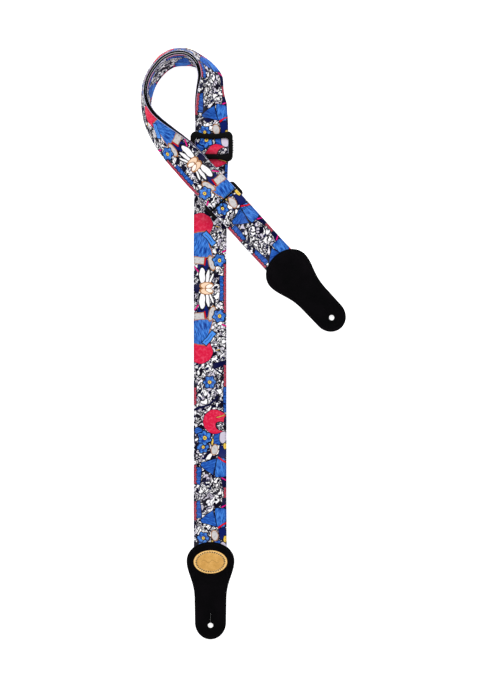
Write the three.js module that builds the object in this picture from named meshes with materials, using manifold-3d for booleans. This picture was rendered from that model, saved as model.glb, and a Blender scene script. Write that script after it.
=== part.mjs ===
// A narrow printed guitar strap, laid out on a table with its adjusting loop standing on edge.
// Millimetres. X to the right, Y along the strap's main run, Z up. The table is z = 0.
import * as THREE from 'three';
import { mergeVertices } from 'three/addons/utils/BufferGeometryUtils.js';
import Module from 'manifold-3d';

const wasm = await Module();
wasm.setup();

// ---------------------------------------------------------------- driving dimensions
const strapWidth = 38;
const webbing = 1.2; // thickness of the black webbing
const printed = 0.4; // thickness of the printed ribbon
const gap = 0.3; // clearance between pieces that touch
const layer = webbing + gap + printed; // one run of strap, webbing and ribbon together
const half = strapWidth / 2;

const tabLength = 112.4;
const tabHead = 27.5; // half the width of a tab's head
const tabNeck = 17.9; // half the width of a tab's neck
const leather = 1.4;
const strapInTab = 38; // how far a strap's end reaches into its tab
const holeRadius = 3.4;
const holeFromTip = 16.1;
const slitLength = 11.5;
const slitWidth = 0.7;
const seamInset = 2.7;
const thread = 0.5;

const badge = { width: 38.6, height: 26.6, thickness: 1, fromHead: 22.8, seamInset: 2.4 };

const slider = {
  x: -38.5,
  y: 226.6,
  z: 7,
  tilt: 8.2,
  width: 48.6,
  length: 34.7,
  thickness: 3.2,
  windowWidth: 39.2,
  windowLength: 21.6,
  waist: 1.8,
};
const centreBar = { width: 5, thickness: 2.2, z: 3.6 };
const ring = {
  width: 45.6,
  length: 21,
  thickness: 3.2,
  openWidth: 39.2,
  openLength: 7,
  middleBar: 1.4,
  z: 15.9,
};

// The short strap and the ring lie on one slanted line. Places on it are given as a distance along
// the line and a distance across it.
const along = new THREE.Vector3(0.682, -0.731, 0).normalize();
const across = new THREE.Vector3(-along.y, along.x, 0);
const up = new THREE.Vector3(0, 0, 1);
const ringAlong = -137;
const ringAcross = 94.1;
const shortAcross = 94.2;
const tabBAlong = -50.6;
const tabBAcross = 93.4;
const tabAX = -39.9;
const tabAHead = -227.4;

const materials = {
  webbing: new THREE.MeshStandardMaterial({ color: 0x141318, roughness: 0.85, metalness: 0 }),
  print: new THREE.MeshStandardMaterial({ color: 0x3350a4, roughness: 0.7, metalness: 0 }),
  plastic: new THREE.MeshStandardMaterial({ color: 0x0c0c0e, roughness: 0.45, metalness: 0 }),
  leather: new THREE.MeshStandardMaterial({ color: 0x0d0a0e, roughness: 0.75, metalness: 0 }),
  badge: new THREE.MeshStandardMaterial({ color: 0xd6a050, roughness: 0.6, metalness: 0 }),
  blackThread: new THREE.MeshStandardMaterial({ color: 0x1a171b, roughness: 0.8, metalness: 0 }),
  creamThread: new THREE.MeshStandardMaterial({ color: 0xe9d7ad, roughness: 0.8, metalness: 0 }),
};

// ---------------------------------------------------------------- strap routes
// A station is a point on the middle of the strap's black back and the direction of its width.
// Width cross travel points out of the printed face.
const station = (point, width) => ({ point, width });
const flat = (x, y, z) => station(new THREE.Vector3(x, y, z), new THREE.Vector3(1, 0, 0));

function onLine(distance, z, width, side = shortAcross) {
  const point = along.clone().multiplyScalar(distance).addScaledVector(across, side);
  return station(point.setZ(z), width.clone());
}

// A half turn round a bar: from the first height to the second, bulging along `forward`.
function fold(centre, forward, radius, width) {
  const steps = 6;
  const stations = [];
  for (let i = 0; i <= steps; i += 1) {
    const angle = Math.PI * (i / steps - 0.5);
    const point = centre.clone().addScaledVector(forward, Math.abs(radius) * Math.cos(angle));
    point.z += radius * Math.sin(angle);
    stations.push(station(point, width.clone()));
  }
  return stations;
}

// The raised inner edge of the adjusting loop: x, y, height of the lower edge, then the tilts in
// degrees of the outer and the inner run. 0 is flat and -90 is on edge.
const loopEdge = [
  [-57.6, 268, 2.2, -12, -12],
  [-56.4, 281, 0, -24, -26],
  [-55.4, 287.5, 0, -31, -33],
  [-54, 294, 0, -38, -42],
  [-52.5, 299.7, 0, -45, -54],
  [-51.6, 305, 0, -52, -68],
  [-54.3, 316.5, 0, -67, -84],
  [-60.2, 324.3, 0, -75, -95],
  [-67.5, 328.4, 0, -76, -100],
  [-75.5, 329.2, 0, -76, -101],
  [-84.5, 327.6, 0, -76.5, -101],
  [-93.2, 323, 0, -78, -101],
  [-100.8, 315.5, 0, -80, -100],
  [-107, 306.5, 0, -81, -99],
  [-111, 297, 0, -82, -98],
  [-112.7, 287, 0, -83, -96],
  [-111.8, 277, 0, -81, -92],
  [-108.6, 268.4, 0, -77, -86],
  [-103.4, 261, 0, -69, -76],
  [-96.1, 254.3, 0, -60, -64],
  [-88, 248.4, 1, -50, -52],
  [-79.8, 242.6, 3, -41, -42],
  [-71, 236.4, 6, -32, -32],
  [-62.2, 229.4, 9, -25, -25],
  [-51.5, 219.5, 11.8, -18, -18],
  [-40.2, 208, 12.4, -11, -11],
  [-29.8, 197.6, 13.2, -4, -4],
];

function loopStations(which) {
  const sign = which === 'outer' ? 1 : -1;
  return loopEdge.map(([x, y, low, outerTilt, innerTilt], i) => {
    const before = loopEdge[Math.max(i - 1, 0)];
    const after = loopEdge[Math.min(i + 1, loopEdge.length - 1)];
    const travel = new THREE.Vector3(after[0] - before[0], after[1] - before[1], 0).normalize();
    const side = new THREE.Vector3().crossVectors(travel, up);
    const outer = THREE.MathUtils.degToRad(outerTilt);
    const inner = THREE.MathUtils.degToRad(innerTilt);
    const outerRise = -strapWidth * Math.sin(outer);
    const innerRise = -strapWidth * Math.sin(inner) + (layer + gap) * Math.max(Math.cos(inner), 0);
    const edge = new THREE.Vector3(x, y, low + gap + Math.max(outerRise, innerRise));
    const tilt = which === 'outer' ? outer : inner;
    const width = side.multiplyScalar(Math.cos(tilt)).addScaledVector(up, Math.sin(tilt));
    const face = new THREE.Vector3().crossVectors(width, travel);
    edge.addScaledVector(face, sign * gap).addScaledVector(width, half);
    return station(edge, width);
  });
}

// Dense frames between smooth curves along the strap's two edges.
function route(stations, spacing) {
  const edge = (side) => new THREE.CatmullRomCurve3(
    stations.map((s) => s.point.clone().addScaledVector(s.width, side * half)), false, 'centripetal');
  const left = edge(-1);
  const right = edge(1);
  const frames = [];
  const last = stations.length - 1;
  const addFrame = (share) => {
    const from = left.getPoint(share);
    const to = right.getPoint(share);
    const point = from.clone().lerp(to, 0.5);
    frames.push({ point, width: to.sub(from).normalize() });
  };
  for (let i = 0; i < last; i += 1) {
    const length = stations[i].point.distanceTo(stations[i + 1].point);
    const pieces = THREE.MathUtils.clamp(Math.round(length / spacing), 1, 3);
    for (let j = 0; j < pieces; j += 1) addFrame((i + j / pieces) / last);
  }
  addFrame(1);
  frames.forEach((frame, i) => {
    const before = frames[Math.max(i - 1, 0)].point;
    const after = frames[Math.min(i + 1, frames.length - 1)].point;
    const travel = after.clone().sub(before);
    frame.face = new THREE.Vector3().crossVectors(frame.width, travel).normalize();
  });
  return frames;
}

// A closed strip of rectangular section, between two heights above the strap's black back. Each
// panel of its two wide faces has a point at its middle, so that a twisted strip stays even.
function strip(frames, low, high) {
  const positions = [];
  const indices = [];
  const corners = [[-half, low], [half, low], [half, high], [-half, high]];
  for (const { point, width, face } of frames) {
    for (const [sideways, height] of corners) {
      const corner = point.clone().addScaledVector(width, sideways).addScaledVector(face, height);
      positions.push(corner.x, corner.y, corner.z);
    }
  }
  for (let i = 0; i < frames.length - 1; i += 1) {
    for (let k = 0; k < 4; k += 1) {
      const a = 4 * i + k;
      const b = 4 * i + ((k + 1) % 4);
      if (k % 2) {
        indices.push(b, a, a + 4, b, a + 4, b + 4);
        continue;
      }
      const middle = positions.length / 3;
      for (let axis = 0; axis < 3; axis += 1) {
        const sum = [a, b, a + 4, b + 4].reduce((total, v) => total + positions[3 * v + axis], 0);
        positions.push(sum / 4);
      }
      indices.push(b, a, middle, a, a + 4, middle, a + 4, b + 4, middle, b + 4, b, middle);
    }
  }
  const end = 4 * (frames.length - 1);
  indices.push(0, 1, 2, 0, 2, 3, end, end + 2, end + 1, end, end + 3, end + 2);
  const geometry = new THREE.BufferGeometry();
  geometry.setAttribute('position', new THREE.Float32BufferAttribute(positions, 3));
  geometry.setIndex(indices);
  return geometry;
}

function longStrapStations() {
  const y = (v) => slider.y + v;
  const x = slider.x;
  const right = new THREE.Vector3(1, 0, 0);
  const back = across.clone().negate();
  const barBottom = layer;
  const foldRadius = centreBar.z - barBottom;
  const ringFold = onLine(ringAlong - ring.openLength / 2 - 1.4, ring.z, back).point;
  const ringRadius = ring.thickness / 2 + gap;
  const ringTop = ring.z + ringRadius;
  const ringLow = ring.z - ringRadius;
  const mainRun = [
    flat(-40.2, tabAHead - strapInTab, leather + gap),
    flat(-40.2, tabAHead - 12, leather + gap),
    flat(-40.2, tabAHead + 2, leather + gap - 0.1),
    flat(-40.3, tabAHead + 14, 0.3),
    flat(-40.3, tabAHead + 26, 0),
    flat(-40.4, tabAHead + 36, 0),
    flat(-40.4, -100, 0),
    flat(-40.4, 20, 0),
    flat(-40.4, 120, 0),
    flat(-39.9, 170, 0),
    flat(-39.1, 195, 0),
    flat(x, y(-17), 0),
    flat(x, y(-13), 0.1),
    flat(x, y(-10.4), 1.2),
    flat(x, y(-7.6), 3.9),
    flat(x, y(-5), 6.6),
    flat(x, y(-2), 7.8),
    flat(x, y(1.5), 7.8),
    flat(x, y(5), 6.9),
    flat(x, y(8), 5.2),
    flat(x, y(11), 4.5),
    flat(x, y(14), 4.5),
    flat(x, y(20), 5.1),
    flat(x - 0.1, y(28), 5.1),
    flat(x - 0.3, y(34), 4.6),
  ];
  const ringEnd = [
    onLine(ringAlong - 13.5, ringTop, back),
    onLine(ringAlong - 10, ringTop, back),
    ...fold(ringFold, along, -ringRadius, back),
    onLine(ringAlong - 10, ringLow, back),
    onLine(ringAlong - 13.5, ringLow, back),
  ];
  const tail = [
    flat(x - 0.3, y(32), barBottom),
    flat(x, y(24), barBottom),
    flat(x, y(12), barBottom),
    flat(x, y(3), barBottom),
    ...fold(new THREE.Vector3(x, y(-1.4), centreBar.z), new THREE.Vector3(0, -1, 0), foldRadius, right),
    flat(x, y(2.4), centreBar.z + foldRadius),
    flat(x, y(4.6), 4.3),
    flat(x, y(7), 2.7),
    flat(x, y(9.5), layer + gap),
    flat(x, y(16), layer + gap),
    flat(x, y(27), layer + gap),
  ];
  const innerLoop = loopStations('inner').reverse();
  return [...mainRun, ...loopStations('outer'), ...ringEnd, ...innerLoop, ...tail];
}

function shortStrapStations() {
  const radius = ring.thickness / 2 + gap;
  const top = ring.z + radius;
  const low = ring.z - radius;
  const foldCentre = onLine(ringAlong + ring.openLength / 2 + 1.4, ring.z, across).point;
  return [
    onLine(tabBAlong + strapInTab, leather + gap, across),
    onLine(tabBAlong + 12, leather + gap, across),
    onLine(tabBAlong - 2, leather + gap, across),
    onLine(tabBAlong - 12, 2, across),
    onLine(tabBAlong - 22, 3.9, across),
    onLine(tabBAlong - 34, 7.4, across),
    onLine(tabBAlong - 45, 10.8, across),
    onLine(tabBAlong - 53, 13.1, across),
    onLine(tabBAlong - 61, 14.6, across),
    onLine(tabBAlong - 68, 15.8, across),
    onLine(tabBAlong - 73.5, top - 0.1, across),
    onLine(tabBAlong - 78, top, across),
    ...fold(foldCentre, along.clone().negate(), radius, across).reverse(),
    onLine(tabBAlong - 78, low, across),
    onLine(tabBAlong - 73, low - 0.1, across),
    onLine(tabBAlong - 68, low - 0.3, across),
    onLine(tabBAlong - 58, low - 0.5, across),
  ];
}

// ---------------------------------------------------------------- solids
function toSolid(geometry) {
  const plain = geometry.clone();
  plain.deleteAttribute('normal');
  plain.deleteAttribute('uv');
  const merged = mergeVertices(plain, 1e-4);
  const vertProperties = new Float32Array(merged.attributes.position.array);
  const triVerts = new Uint32Array(merged.index.array);
  return new wasm.Manifold(new wasm.Mesh({ numProp: 3, vertProperties, triVerts }));
}

function toGeometry(solid) {
  const { vertProperties, triVerts } = solid.getMesh();
  const geometry = new THREE.BufferGeometry();
  geometry.setAttribute('position', new THREE.BufferAttribute(vertProperties, 3));
  geometry.setIndex(new THREE.BufferAttribute(triVerts, 1));
  return geometry;
}

const extrude = (shape, depth, curveSegments = 12) =>
  new THREE.ExtrudeGeometry(shape, { depth, bevelEnabled: false, curveSegments });

// A solid as wide as a tab whose side view is the given outline: distance from the head, height.
function sideView(outline) {
  const shape = new THREE.Shape(outline.map(([s, z]) => new THREE.Vector2(s, z)));
  const width = 4 * tabHead;
  const geometry = extrude(shape, width);
  geometry.rotateX(Math.PI / 2);
  geometry.translate(0, width / 2, 0);
  return toSolid(geometry);
}

// A tab's outline, its head at 0 and its tip along +X, drawn inwards by the inset.
function tabOutline(inset) {
  const head = tabHead - inset;
  const neck = tabNeck - inset;
  const headCentre = 22;
  const endCentre = tabLength - 19.5;
  const shape = new THREE.Shape();
  shape.moveTo(headCentre, -head);
  shape.bezierCurveTo(headCentre + 14, -head, headCentre + 23, -neck - 0.6, 66, -neck - 0.4);
  shape.lineTo(endCentre, -neck);
  shape.absellipse(endCentre, 0, tabLength - inset - endCentre, neck, -Math.PI / 2, Math.PI / 2);
  shape.lineTo(66, neck + 0.4);
  shape.bezierCurveTo(headCentre + 23, neck + 0.6, headCentre + 14, head, headCentre, head);
  shape.absellipse(headCentre, 0, headCentre - inset, head, Math.PI / 2, Math.PI * 1.5);
  return shape;
}

// The button hole with the slit that lets a strap button's head through.
function buttonHole() {
  const centre = tabLength - holeFromTip;
  const slitEnd = centre - slitLength - holeRadius;
  const meet = Math.asin(slitWidth / 2 / holeRadius);
  const hole = new THREE.Path();
  hole.moveTo(slitEnd, -slitWidth / 2);
  hole.absarc(centre, 0, holeRadius, Math.PI + meet, Math.PI - meet, false);
  hole.lineTo(slitEnd, slitWidth / 2);
  return hole;
}

// The front leather's upper and lower surfaces step down where the strap's end stops.
const overStrap = leather + gap + layer + gap;
const overBack = leather + gap;
const stepStart = strapInTab + 1;
const stepEnd = stepStart + 11;

function frontSlab(from, to) {
  return sideView([
    [-5, overStrap + from],
    [stepStart, overStrap + from],
    [stepEnd, overBack + from],
    [tabLength + 5, overBack + from],
    [tabLength + 5, overBack + to],
    [stepEnd, overBack + to],
    [stepStart, overStrap + to],
    [-5, overStrap + to],
  ]);
}

function tabBack() {
  const outline = tabOutline(0);
  outline.holes.push(buttonHole());
  return extrude(outline, leather);
}

function tabFront() {
  const outline = tabOutline(0);
  outline.holes.push(buttonHole());
  return toGeometry(toSolid(extrude(outline, 20)).intersect(frontSlab(0, leather)));
}

function tabSeam() {
  const outline = tabOutline(seamInset);
  outline.holes.push(new THREE.Path(tabOutline(seamInset + thread).getPoints(12)));
  const low = leather + gap;
  return toGeometry(toSolid(extrude(outline, 20)).intersect(frontSlab(low, low + thread)));
}

function ellipse(width, height) {
  const shape = new THREE.Shape();
  shape.absellipse(0, 0, width / 2, height / 2, 0, 2 * Math.PI);
  return shape;
}

function badgeSeam() {
  const width = badge.width - 2 * badge.seamInset;
  const height = badge.height - 2 * badge.seamInset;
  const shape = ellipse(width, height);
  shape.holes.push(ellipse(width - 2 * thread, height - 2 * thread));
  return extrude(shape, thread, 18);
}

function roundedRectangle(width, height, radius, waist = 0) {
  const w = width / 2;
  const h = height / 2;
  const start = w - radius - 5;
  const shape = new THREE.Shape();
  shape.moveTo(-w + radius, -h);
  if (waist > 0) {
    shape.lineTo(-start, -h);
    shape.quadraticCurveTo(0, -h + 2 * waist, start, -h);
  }
  shape.lineTo(w - radius, -h);
  shape.absarc(w - radius, -h + radius, radius, -Math.PI / 2, 0);
  shape.absarc(w - radius, h - radius, radius, 0, Math.PI / 2);
  if (waist > 0) {
    shape.lineTo(start, h);
    shape.quadraticCurveTo(0, h - 2 * waist, -start, h);
  }
  shape.absarc(-w + radius, h - radius, radius, Math.PI / 2, Math.PI);
  shape.absarc(-w + radius, -h + radius, radius, Math.PI, Math.PI * 1.5);
  return shape;
}

// A moulded plate with one window and rounded edges, centred on its own origin.
function mouldedFrame(outline, window, thickness, rounding) {
  outline.holes.push(window);
  const geometry = new THREE.ExtrudeGeometry(outline, {
    depth: thickness - 2 * rounding,
    bevelThickness: rounding,
    bevelSize: rounding,
    bevelOffset: -rounding,
    bevelSegments: 2,
    curveSegments: 5,
  });
  geometry.translate(0, 0, -thickness / 2 + rounding);
  return geometry;
}

// The tri-glide: a waisted plate, two deep cheeks with grip ridges, and a lower centre bar.
function sliderGeometry() {
  const outline = roundedRectangle(slider.width, slider.length, 4.6, slider.waist);
  const window = roundedRectangle(slider.windowWidth, slider.windowLength, 1.5);
  let body = toSolid(mouldedFrame(outline, window, slider.thickness, 1));
  const cheekWidth = (slider.width - slider.windowWidth) / 2 - 0.6;
  const barHeight = centreBar.z - slider.z;
  const deep = barHeight - centreBar.thickness / 2;
  const cheekSide = new THREE.Shape([
    new THREE.Vector2(-12, -1),
    new THREE.Vector2(-3, deep),
    new THREE.Vector2(3, deep),
    new THREE.Vector2(12, -1),
    new THREE.Vector2(10, 1.2),
    new THREE.Vector2(-10, 1.2),
  ]);
  const cheekX = (slider.windowWidth + cheekWidth) / 2;
  for (const side of [-1, 1]) {
    const cheek = extrude(cheekSide, cheekWidth);
    cheek.rotateX(Math.PI / 2);
    cheek.rotateZ(Math.PI / 2);
    cheek.translate(side * cheekX - cheekWidth / 2, 0, 0);
    body = body.add(toSolid(cheek));
    for (let i = -2; i <= 2; i += 1) {
      const ridge = new THREE.CylinderGeometry(0.8, 0.8, 2.2, 8);
      ridge.rotateX(Math.PI / 2);
      ridge.translate((side * slider.width) / 2 - side * 0.25, i * 1.8, 0);
      body = body.add(toSolid(ridge));
    }
  }
  const section = roundedRectangle(centreBar.width, centreBar.thickness, centreBar.thickness / 2 - 0.05);
  const bar = extrude(section, slider.windowWidth + 4, 3);
  bar.rotateX(Math.PI / 2);
  bar.rotateZ(Math.PI / 2);
  bar.translate(-slider.windowWidth / 2 - 2, 0, barHeight);
  return toGeometry(body.add(toSolid(bar)));
}

function ringGeometry() {
  const outline = roundedRectangle(ring.width, ring.length, 5);
  const window = roundedRectangle(ring.openWidth, ring.openLength, 0.8);
  const frame = toSolid(mouldedFrame(outline, window, ring.thickness, 1.2));
  const bar = new THREE.BoxGeometry(ring.openWidth + 3, ring.middleBar, ring.thickness - 1);
  return toGeometry(frame.add(toSolid(bar)));
}

// A dense zigzag of thread across the strap, centred on its own origin.
function barTack() {
  const teeth = 13;
  const reach = half - 4;
  const height = 1.6;
  const shape = new THREE.Shape();
  for (let i = 0; i <= 2 * teeth; i += 1) {
    const x = -reach + (i * reach) / teeth;
    const y = i % 2 ? height : -height;
    if (i === 0) shape.moveTo(x, y - thread);
    else shape.lineTo(x, y - thread);
  }
  for (let i = 2 * teeth; i >= 0; i -= 1) {
    shape.lineTo(-reach + (i * reach) / teeth, (i % 2 ? height : -height) + thread);
  }
  return extrude(shape, 0.4);
}

// ---------------------------------------------------------------- assembly
const strap = new THREE.Group();

function piece(name, geometry, material, parent = strap) {
  const mesh = new THREE.Mesh(geometry, material);
  mesh.name = name;
  parent.add(mesh);
  return mesh;
}

function place(group, origin, xAxis, yAxis) {
  const zAxis = new THREE.Vector3().crossVectors(xAxis, yAxis);
  group.quaternion.setFromRotationMatrix(new THREE.Matrix4().makeBasis(xAxis, yAxis, zAxis));
  group.position.copy(origin);
  strap.add(group);
  return group;
}

const longStrap = route(longStrapStations(), 7);
piece('long_strap_webbing', strip(longStrap, 0, webbing), materials.webbing);
piece('long_strap_printed_face', strip(longStrap, webbing + gap, layer), materials.print);

const shortStrap = route(shortStrapStations(), 7);
piece('short_strap_webbing', strip(shortStrap, 0, webbing), materials.webbing);
piece('short_strap_printed_face', strip(shortStrap, webbing + gap, layer), materials.print);

const tabPlaces = {
  tab_a: [new THREE.Vector3(tabAX, tabAHead, 0), new THREE.Vector3(0, -1, 0)],
  tab_b: [onLine(tabBAlong, 0, across, tabBAcross).point, along],
};
for (const [name, [origin, direction]] of Object.entries(tabPlaces)) {
  const sideways = new THREE.Vector3().crossVectors(up, direction);
  const tab = place(new THREE.Group(), origin, direction, sideways);
  piece(`${name}_back_leather`, tabBack(), materials.leather, tab);
  piece(`${name}_front_leather`, tabFront(), materials.leather, tab);
  piece(`${name}_seam`, tabSeam(), materials.blackThread, tab);
}

const badgeGroup = new THREE.Group();
badgeGroup.position.set(tabAX, tabAHead - badge.fromHead, overStrap + leather + gap);
strap.add(badgeGroup);
piece('oval_badge', extrude(ellipse(badge.width, badge.height), badge.thickness, 18), materials.badge,
  badgeGroup);
piece('oval_badge_seam', badgeSeam(), materials.creamThread, badgeGroup).position.z =
  badge.thickness + gap;

const sliderMesh = piece('adjuster_slider', sliderGeometry(), materials.plastic);
sliderMesh.position.set(slider.x, slider.y, slider.z);
sliderMesh.rotation.x = THREE.MathUtils.degToRad(slider.tilt);

const ringOrigin = onLine(ringAlong, ring.z, across, ringAcross).point;
piece('rectangular_ring', ringGeometry(), materials.plastic,
  place(new THREE.Group(), ringOrigin, across, along.clone().negate()));

piece('slider_end_bar_tack', barTack(), materials.blackThread).position.set(
  slider.x, slider.y + 23, 2 * (layer + gap) - 0.05);

const shortTack = place(new THREE.Group(), onLine(tabBAlong - 63.5, 17.3, across).point, across,
  along.clone().negate());
const shortTackMesh = piece('ring_end_bar_tack', barTack(), materials.blackThread, shortTack);
shortTackMesh.rotation.x = THREE.MathUtils.degToRad(9);

// The origin is under the middle of the laid-out strap.
strap.position.set(2, -0.36, 0.02);

export default strap;
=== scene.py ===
"""A narrow printed guitar strap with leather end tabs, an adjuster and a rectangular ring.

Lengths are in millimetres in the strap's own frame, which is the CAD part's: X to the right,
Y along the main run, Z up, table at z = 0. `to_world` turns them into metres in the row frame.
"""

import math

import bmesh
import bpy
import numpy as np
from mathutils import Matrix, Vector


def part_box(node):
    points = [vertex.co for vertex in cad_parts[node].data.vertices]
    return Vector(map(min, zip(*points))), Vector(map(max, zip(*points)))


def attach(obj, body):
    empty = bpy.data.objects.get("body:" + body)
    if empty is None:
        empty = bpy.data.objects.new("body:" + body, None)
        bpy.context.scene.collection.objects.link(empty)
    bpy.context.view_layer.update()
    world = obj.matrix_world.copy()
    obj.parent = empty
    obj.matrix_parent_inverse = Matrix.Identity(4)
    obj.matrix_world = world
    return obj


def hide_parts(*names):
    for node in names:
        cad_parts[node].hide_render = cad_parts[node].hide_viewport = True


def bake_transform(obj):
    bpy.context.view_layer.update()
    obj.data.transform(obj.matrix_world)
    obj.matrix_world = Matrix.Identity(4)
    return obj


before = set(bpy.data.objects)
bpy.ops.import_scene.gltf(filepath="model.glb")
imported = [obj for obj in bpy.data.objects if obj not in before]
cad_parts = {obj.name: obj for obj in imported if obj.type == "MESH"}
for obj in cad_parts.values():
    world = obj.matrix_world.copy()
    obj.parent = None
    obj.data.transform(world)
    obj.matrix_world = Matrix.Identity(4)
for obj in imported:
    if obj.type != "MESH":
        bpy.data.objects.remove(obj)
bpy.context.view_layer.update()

# ------------------------------------------------------------------ driving dimensions
STRAP_WIDTH = 38.0
HALF = STRAP_WIDTH / 2
WEBBING = 1.2
GAP = 0.3
LAYER = 1.9
RIBBON_LOW = 1.22
RIBBON_HIGH = 1.82
ROW_SPACING = 1.5
EDGE_STITCH_PITCH = 3.1
EDGE_SEAM_INSET = 1.5

TAB_LENGTH = 112.4
TAB_HEAD = 27.5
TAB_NECK = 17.9
TAB_TIP_REACH = 19.5
TAB_HEAD_REACH = 22.0
LEATHER = 1.4
STRAP_IN_TAB = 38.0
HOLE_RADIUS = 3.1
HOLE_FROM_TIP = 16.1
SLIT_LENGTH = 11.5
SLIT_WIDTH = 0.08
SEAM_INSET = 2.7
TAB_STITCHES = 88
TAB_A = (-39.9, -227.4)
TAB_B_ALONG = -50.6
TAB_B_ACROSS = 93.4

BADGE_WIDTH = 38.6
BADGE_HEIGHT = 26.6
BADGE_FROM_HEAD = 22.8
BADGE_LOW = 5.3
BADGE_HIGH = 6.55
BADGE_SEAM_INSET = 2.5
BADGE_STITCHES = 36

SLIDER_PLACE = (-38.5, 226.6, 7.0)
SLIDER_TILT = math.radians(8.2)
SLIDER_SIZE = (48.6, 34.7, 3.4)
SLIDER_WINDOW = (38.3, 19.4)
SLIDER_WAIST = 2.9
CENTRE_BAR_WIDTH = 5.0
CENTRE_BAR_THICKNESS = 2.2
CENTRE_BAR_Z = 3.6
RING_SIZE = (45.6, 21.0, 3.2)
RING_WINDOW = (38.6, 7.0)
# Width of a black bar across the ring's window, set between the two folds as a dark stand-in for the shade
# in the gap between them.
RING_SHADE_BAR = 1.9
RING_SLACK = 1.5
RING_Z = 15.9
FRAME_SQUARENESS = 3.6
ROD_SQUARENESS = 2.6
RING_ALONG = -137.0
RING_ACROSS = 94.1
SHORT_ACROSS = 94.2

# The main run ends at a station; the webbing is fuller round the loop; the strap over the centre
# bar dips at its ends, under the slider's outer bars.
LOOP_START_STATION = 26
LOOP_PLUSH = 0.66
OVERLAY_START = -13.5
OVERLAY_END = 15.5
OVERLAY_DIP = 0.3

# The print mirrors itself: its first mirror line's place, and the distance to the next one.
PRINT_START = 94.5
PRINT_REPEAT = 235.0
SHORT_STRAP_PRINT_START = 27.0

UP = np.array([0.0, 0.0, 1.0])
RIGHT = np.array([1.0, 0.0, 0.0])
ALONG = np.array([0.682, -0.731, 0.0])
ALONG /= np.linalg.norm(ALONG)
ACROSS = np.array([-ALONG[1], ALONG[0], 0.0])

tab_low, tab_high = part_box("tab_a_back_leather")
ORIGIN = np.array([
    (tab_low.x + tab_high.x) / 2 - TAB_A[0] / 1000,
    tab_high.y - TAB_A[1] / 1000,
    tab_low.z,
])


def to_world(points):
    return np.asarray(points, float) / 1000 + ORIGIN


def smoothstep(low, high, value):
    share = np.clip((np.asarray(value, float) - low) / (high - low), 0, 1)
    return share * share * (3 - 2 * share)


# ------------------------------------------------------------------ strap routes
# A station is a point on the middle of the strap's black back and the direction of its width.
# Width cross travel points out of the printed face.
def flat(x, y, z):
    return np.array([x, y, z], float), RIGHT


def on_line(distance, z, width):
    point = ALONG * distance + ACROSS * SHORT_ACROSS
    return np.array([point[0], point[1], z]), width


def fold(centre, forward, radius, width):
    """A half turn round a bar, bulging along `forward`."""
    stations = []
    for step in range(7):
        angle = math.pi * (step / 6 - 0.5)
        point = centre + forward * abs(radius) * math.cos(angle) + UP * radius * math.sin(angle)
        stations.append((point, width))
    return stations


# The raised inner edge of the adjusting loop: x, y, height of the lower edge, then the tilts in
# degrees of the outer and the inner run. 0 is flat and -90 is on edge.
LOOP_EDGE = [
    (-57.6, 268, 2.2, -12, -12),
    (-56.4, 281, 0, -24, -26),
    (-55.4, 287.5, 0, -31, -33),
    (-54, 294, 0, -38, -42),
    (-52.5, 299.7, 0, -45, -54),
    (-51.6, 305, 0, -52, -68),
    (-54.3, 316.5, 0, -67, -84),
    (-60.2, 324.3, 0, -75, -95),
    (-67.5, 328.4, 0, -76, -100),
    (-75.5, 329.2, 0, -76, -101),
    (-84.5, 327.6, 0, -76.5, -101),
    (-93.2, 323, 0, -78, -101),
    (-100.8, 315.5, 0, -80, -100),
    (-107, 306.5, 0, -81, -99),
    (-111, 297, 0, -82, -98),
    (-112.7, 287, 0, -83, -96),
    (-111.8, 277, 0, -81, -92),
    (-108.6, 268.4, 0, -77, -86),
    (-103.4, 261, 0, -69, -76),
    (-96.1, 254.3, 0, -60, -64),
    (-88, 248.4, 1, -50, -52),
    (-79.8, 242.6, 3, -41, -42),
    (-71, 236.4, 6, -32, -32),
    (-62.2, 229.4, 9, -25, -25),
    (-51.5, 219.5, 11.8, -18, -18),
    (-40.2, 208, 12.4, -11, -11),
    (-29.8, 197.6, 13.2, -4, -4),
]


def loop_stations(sign):
    """The loop's outer run for sign 1 and its inner run for sign -1."""
    stations = []
    for i, (x, y, low, outer_tilt, inner_tilt) in enumerate(LOOP_EDGE):
        before = LOOP_EDGE[max(i - 1, 0)]
        after = LOOP_EDGE[min(i + 1, len(LOOP_EDGE) - 1)]
        travel = np.array([after[0] - before[0], after[1] - before[1], 0.0])
        travel /= np.linalg.norm(travel)
        side = np.cross(travel, UP)
        outer = math.radians(outer_tilt)
        inner = math.radians(inner_tilt)
        inner_rise = -STRAP_WIDTH * math.sin(inner) + (LAYER + GAP) * max(math.cos(inner), 0)
        rise = max(-STRAP_WIDTH * math.sin(outer), inner_rise)
        tilt = outer if sign > 0 else inner
        width = side * math.cos(tilt) + UP * math.sin(tilt)
        face = np.cross(width, travel)
        edge = np.array([x, y, low + GAP + rise]) + face * sign * GAP
        stations.append((edge + width * HALF, width))
    return stations


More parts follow.
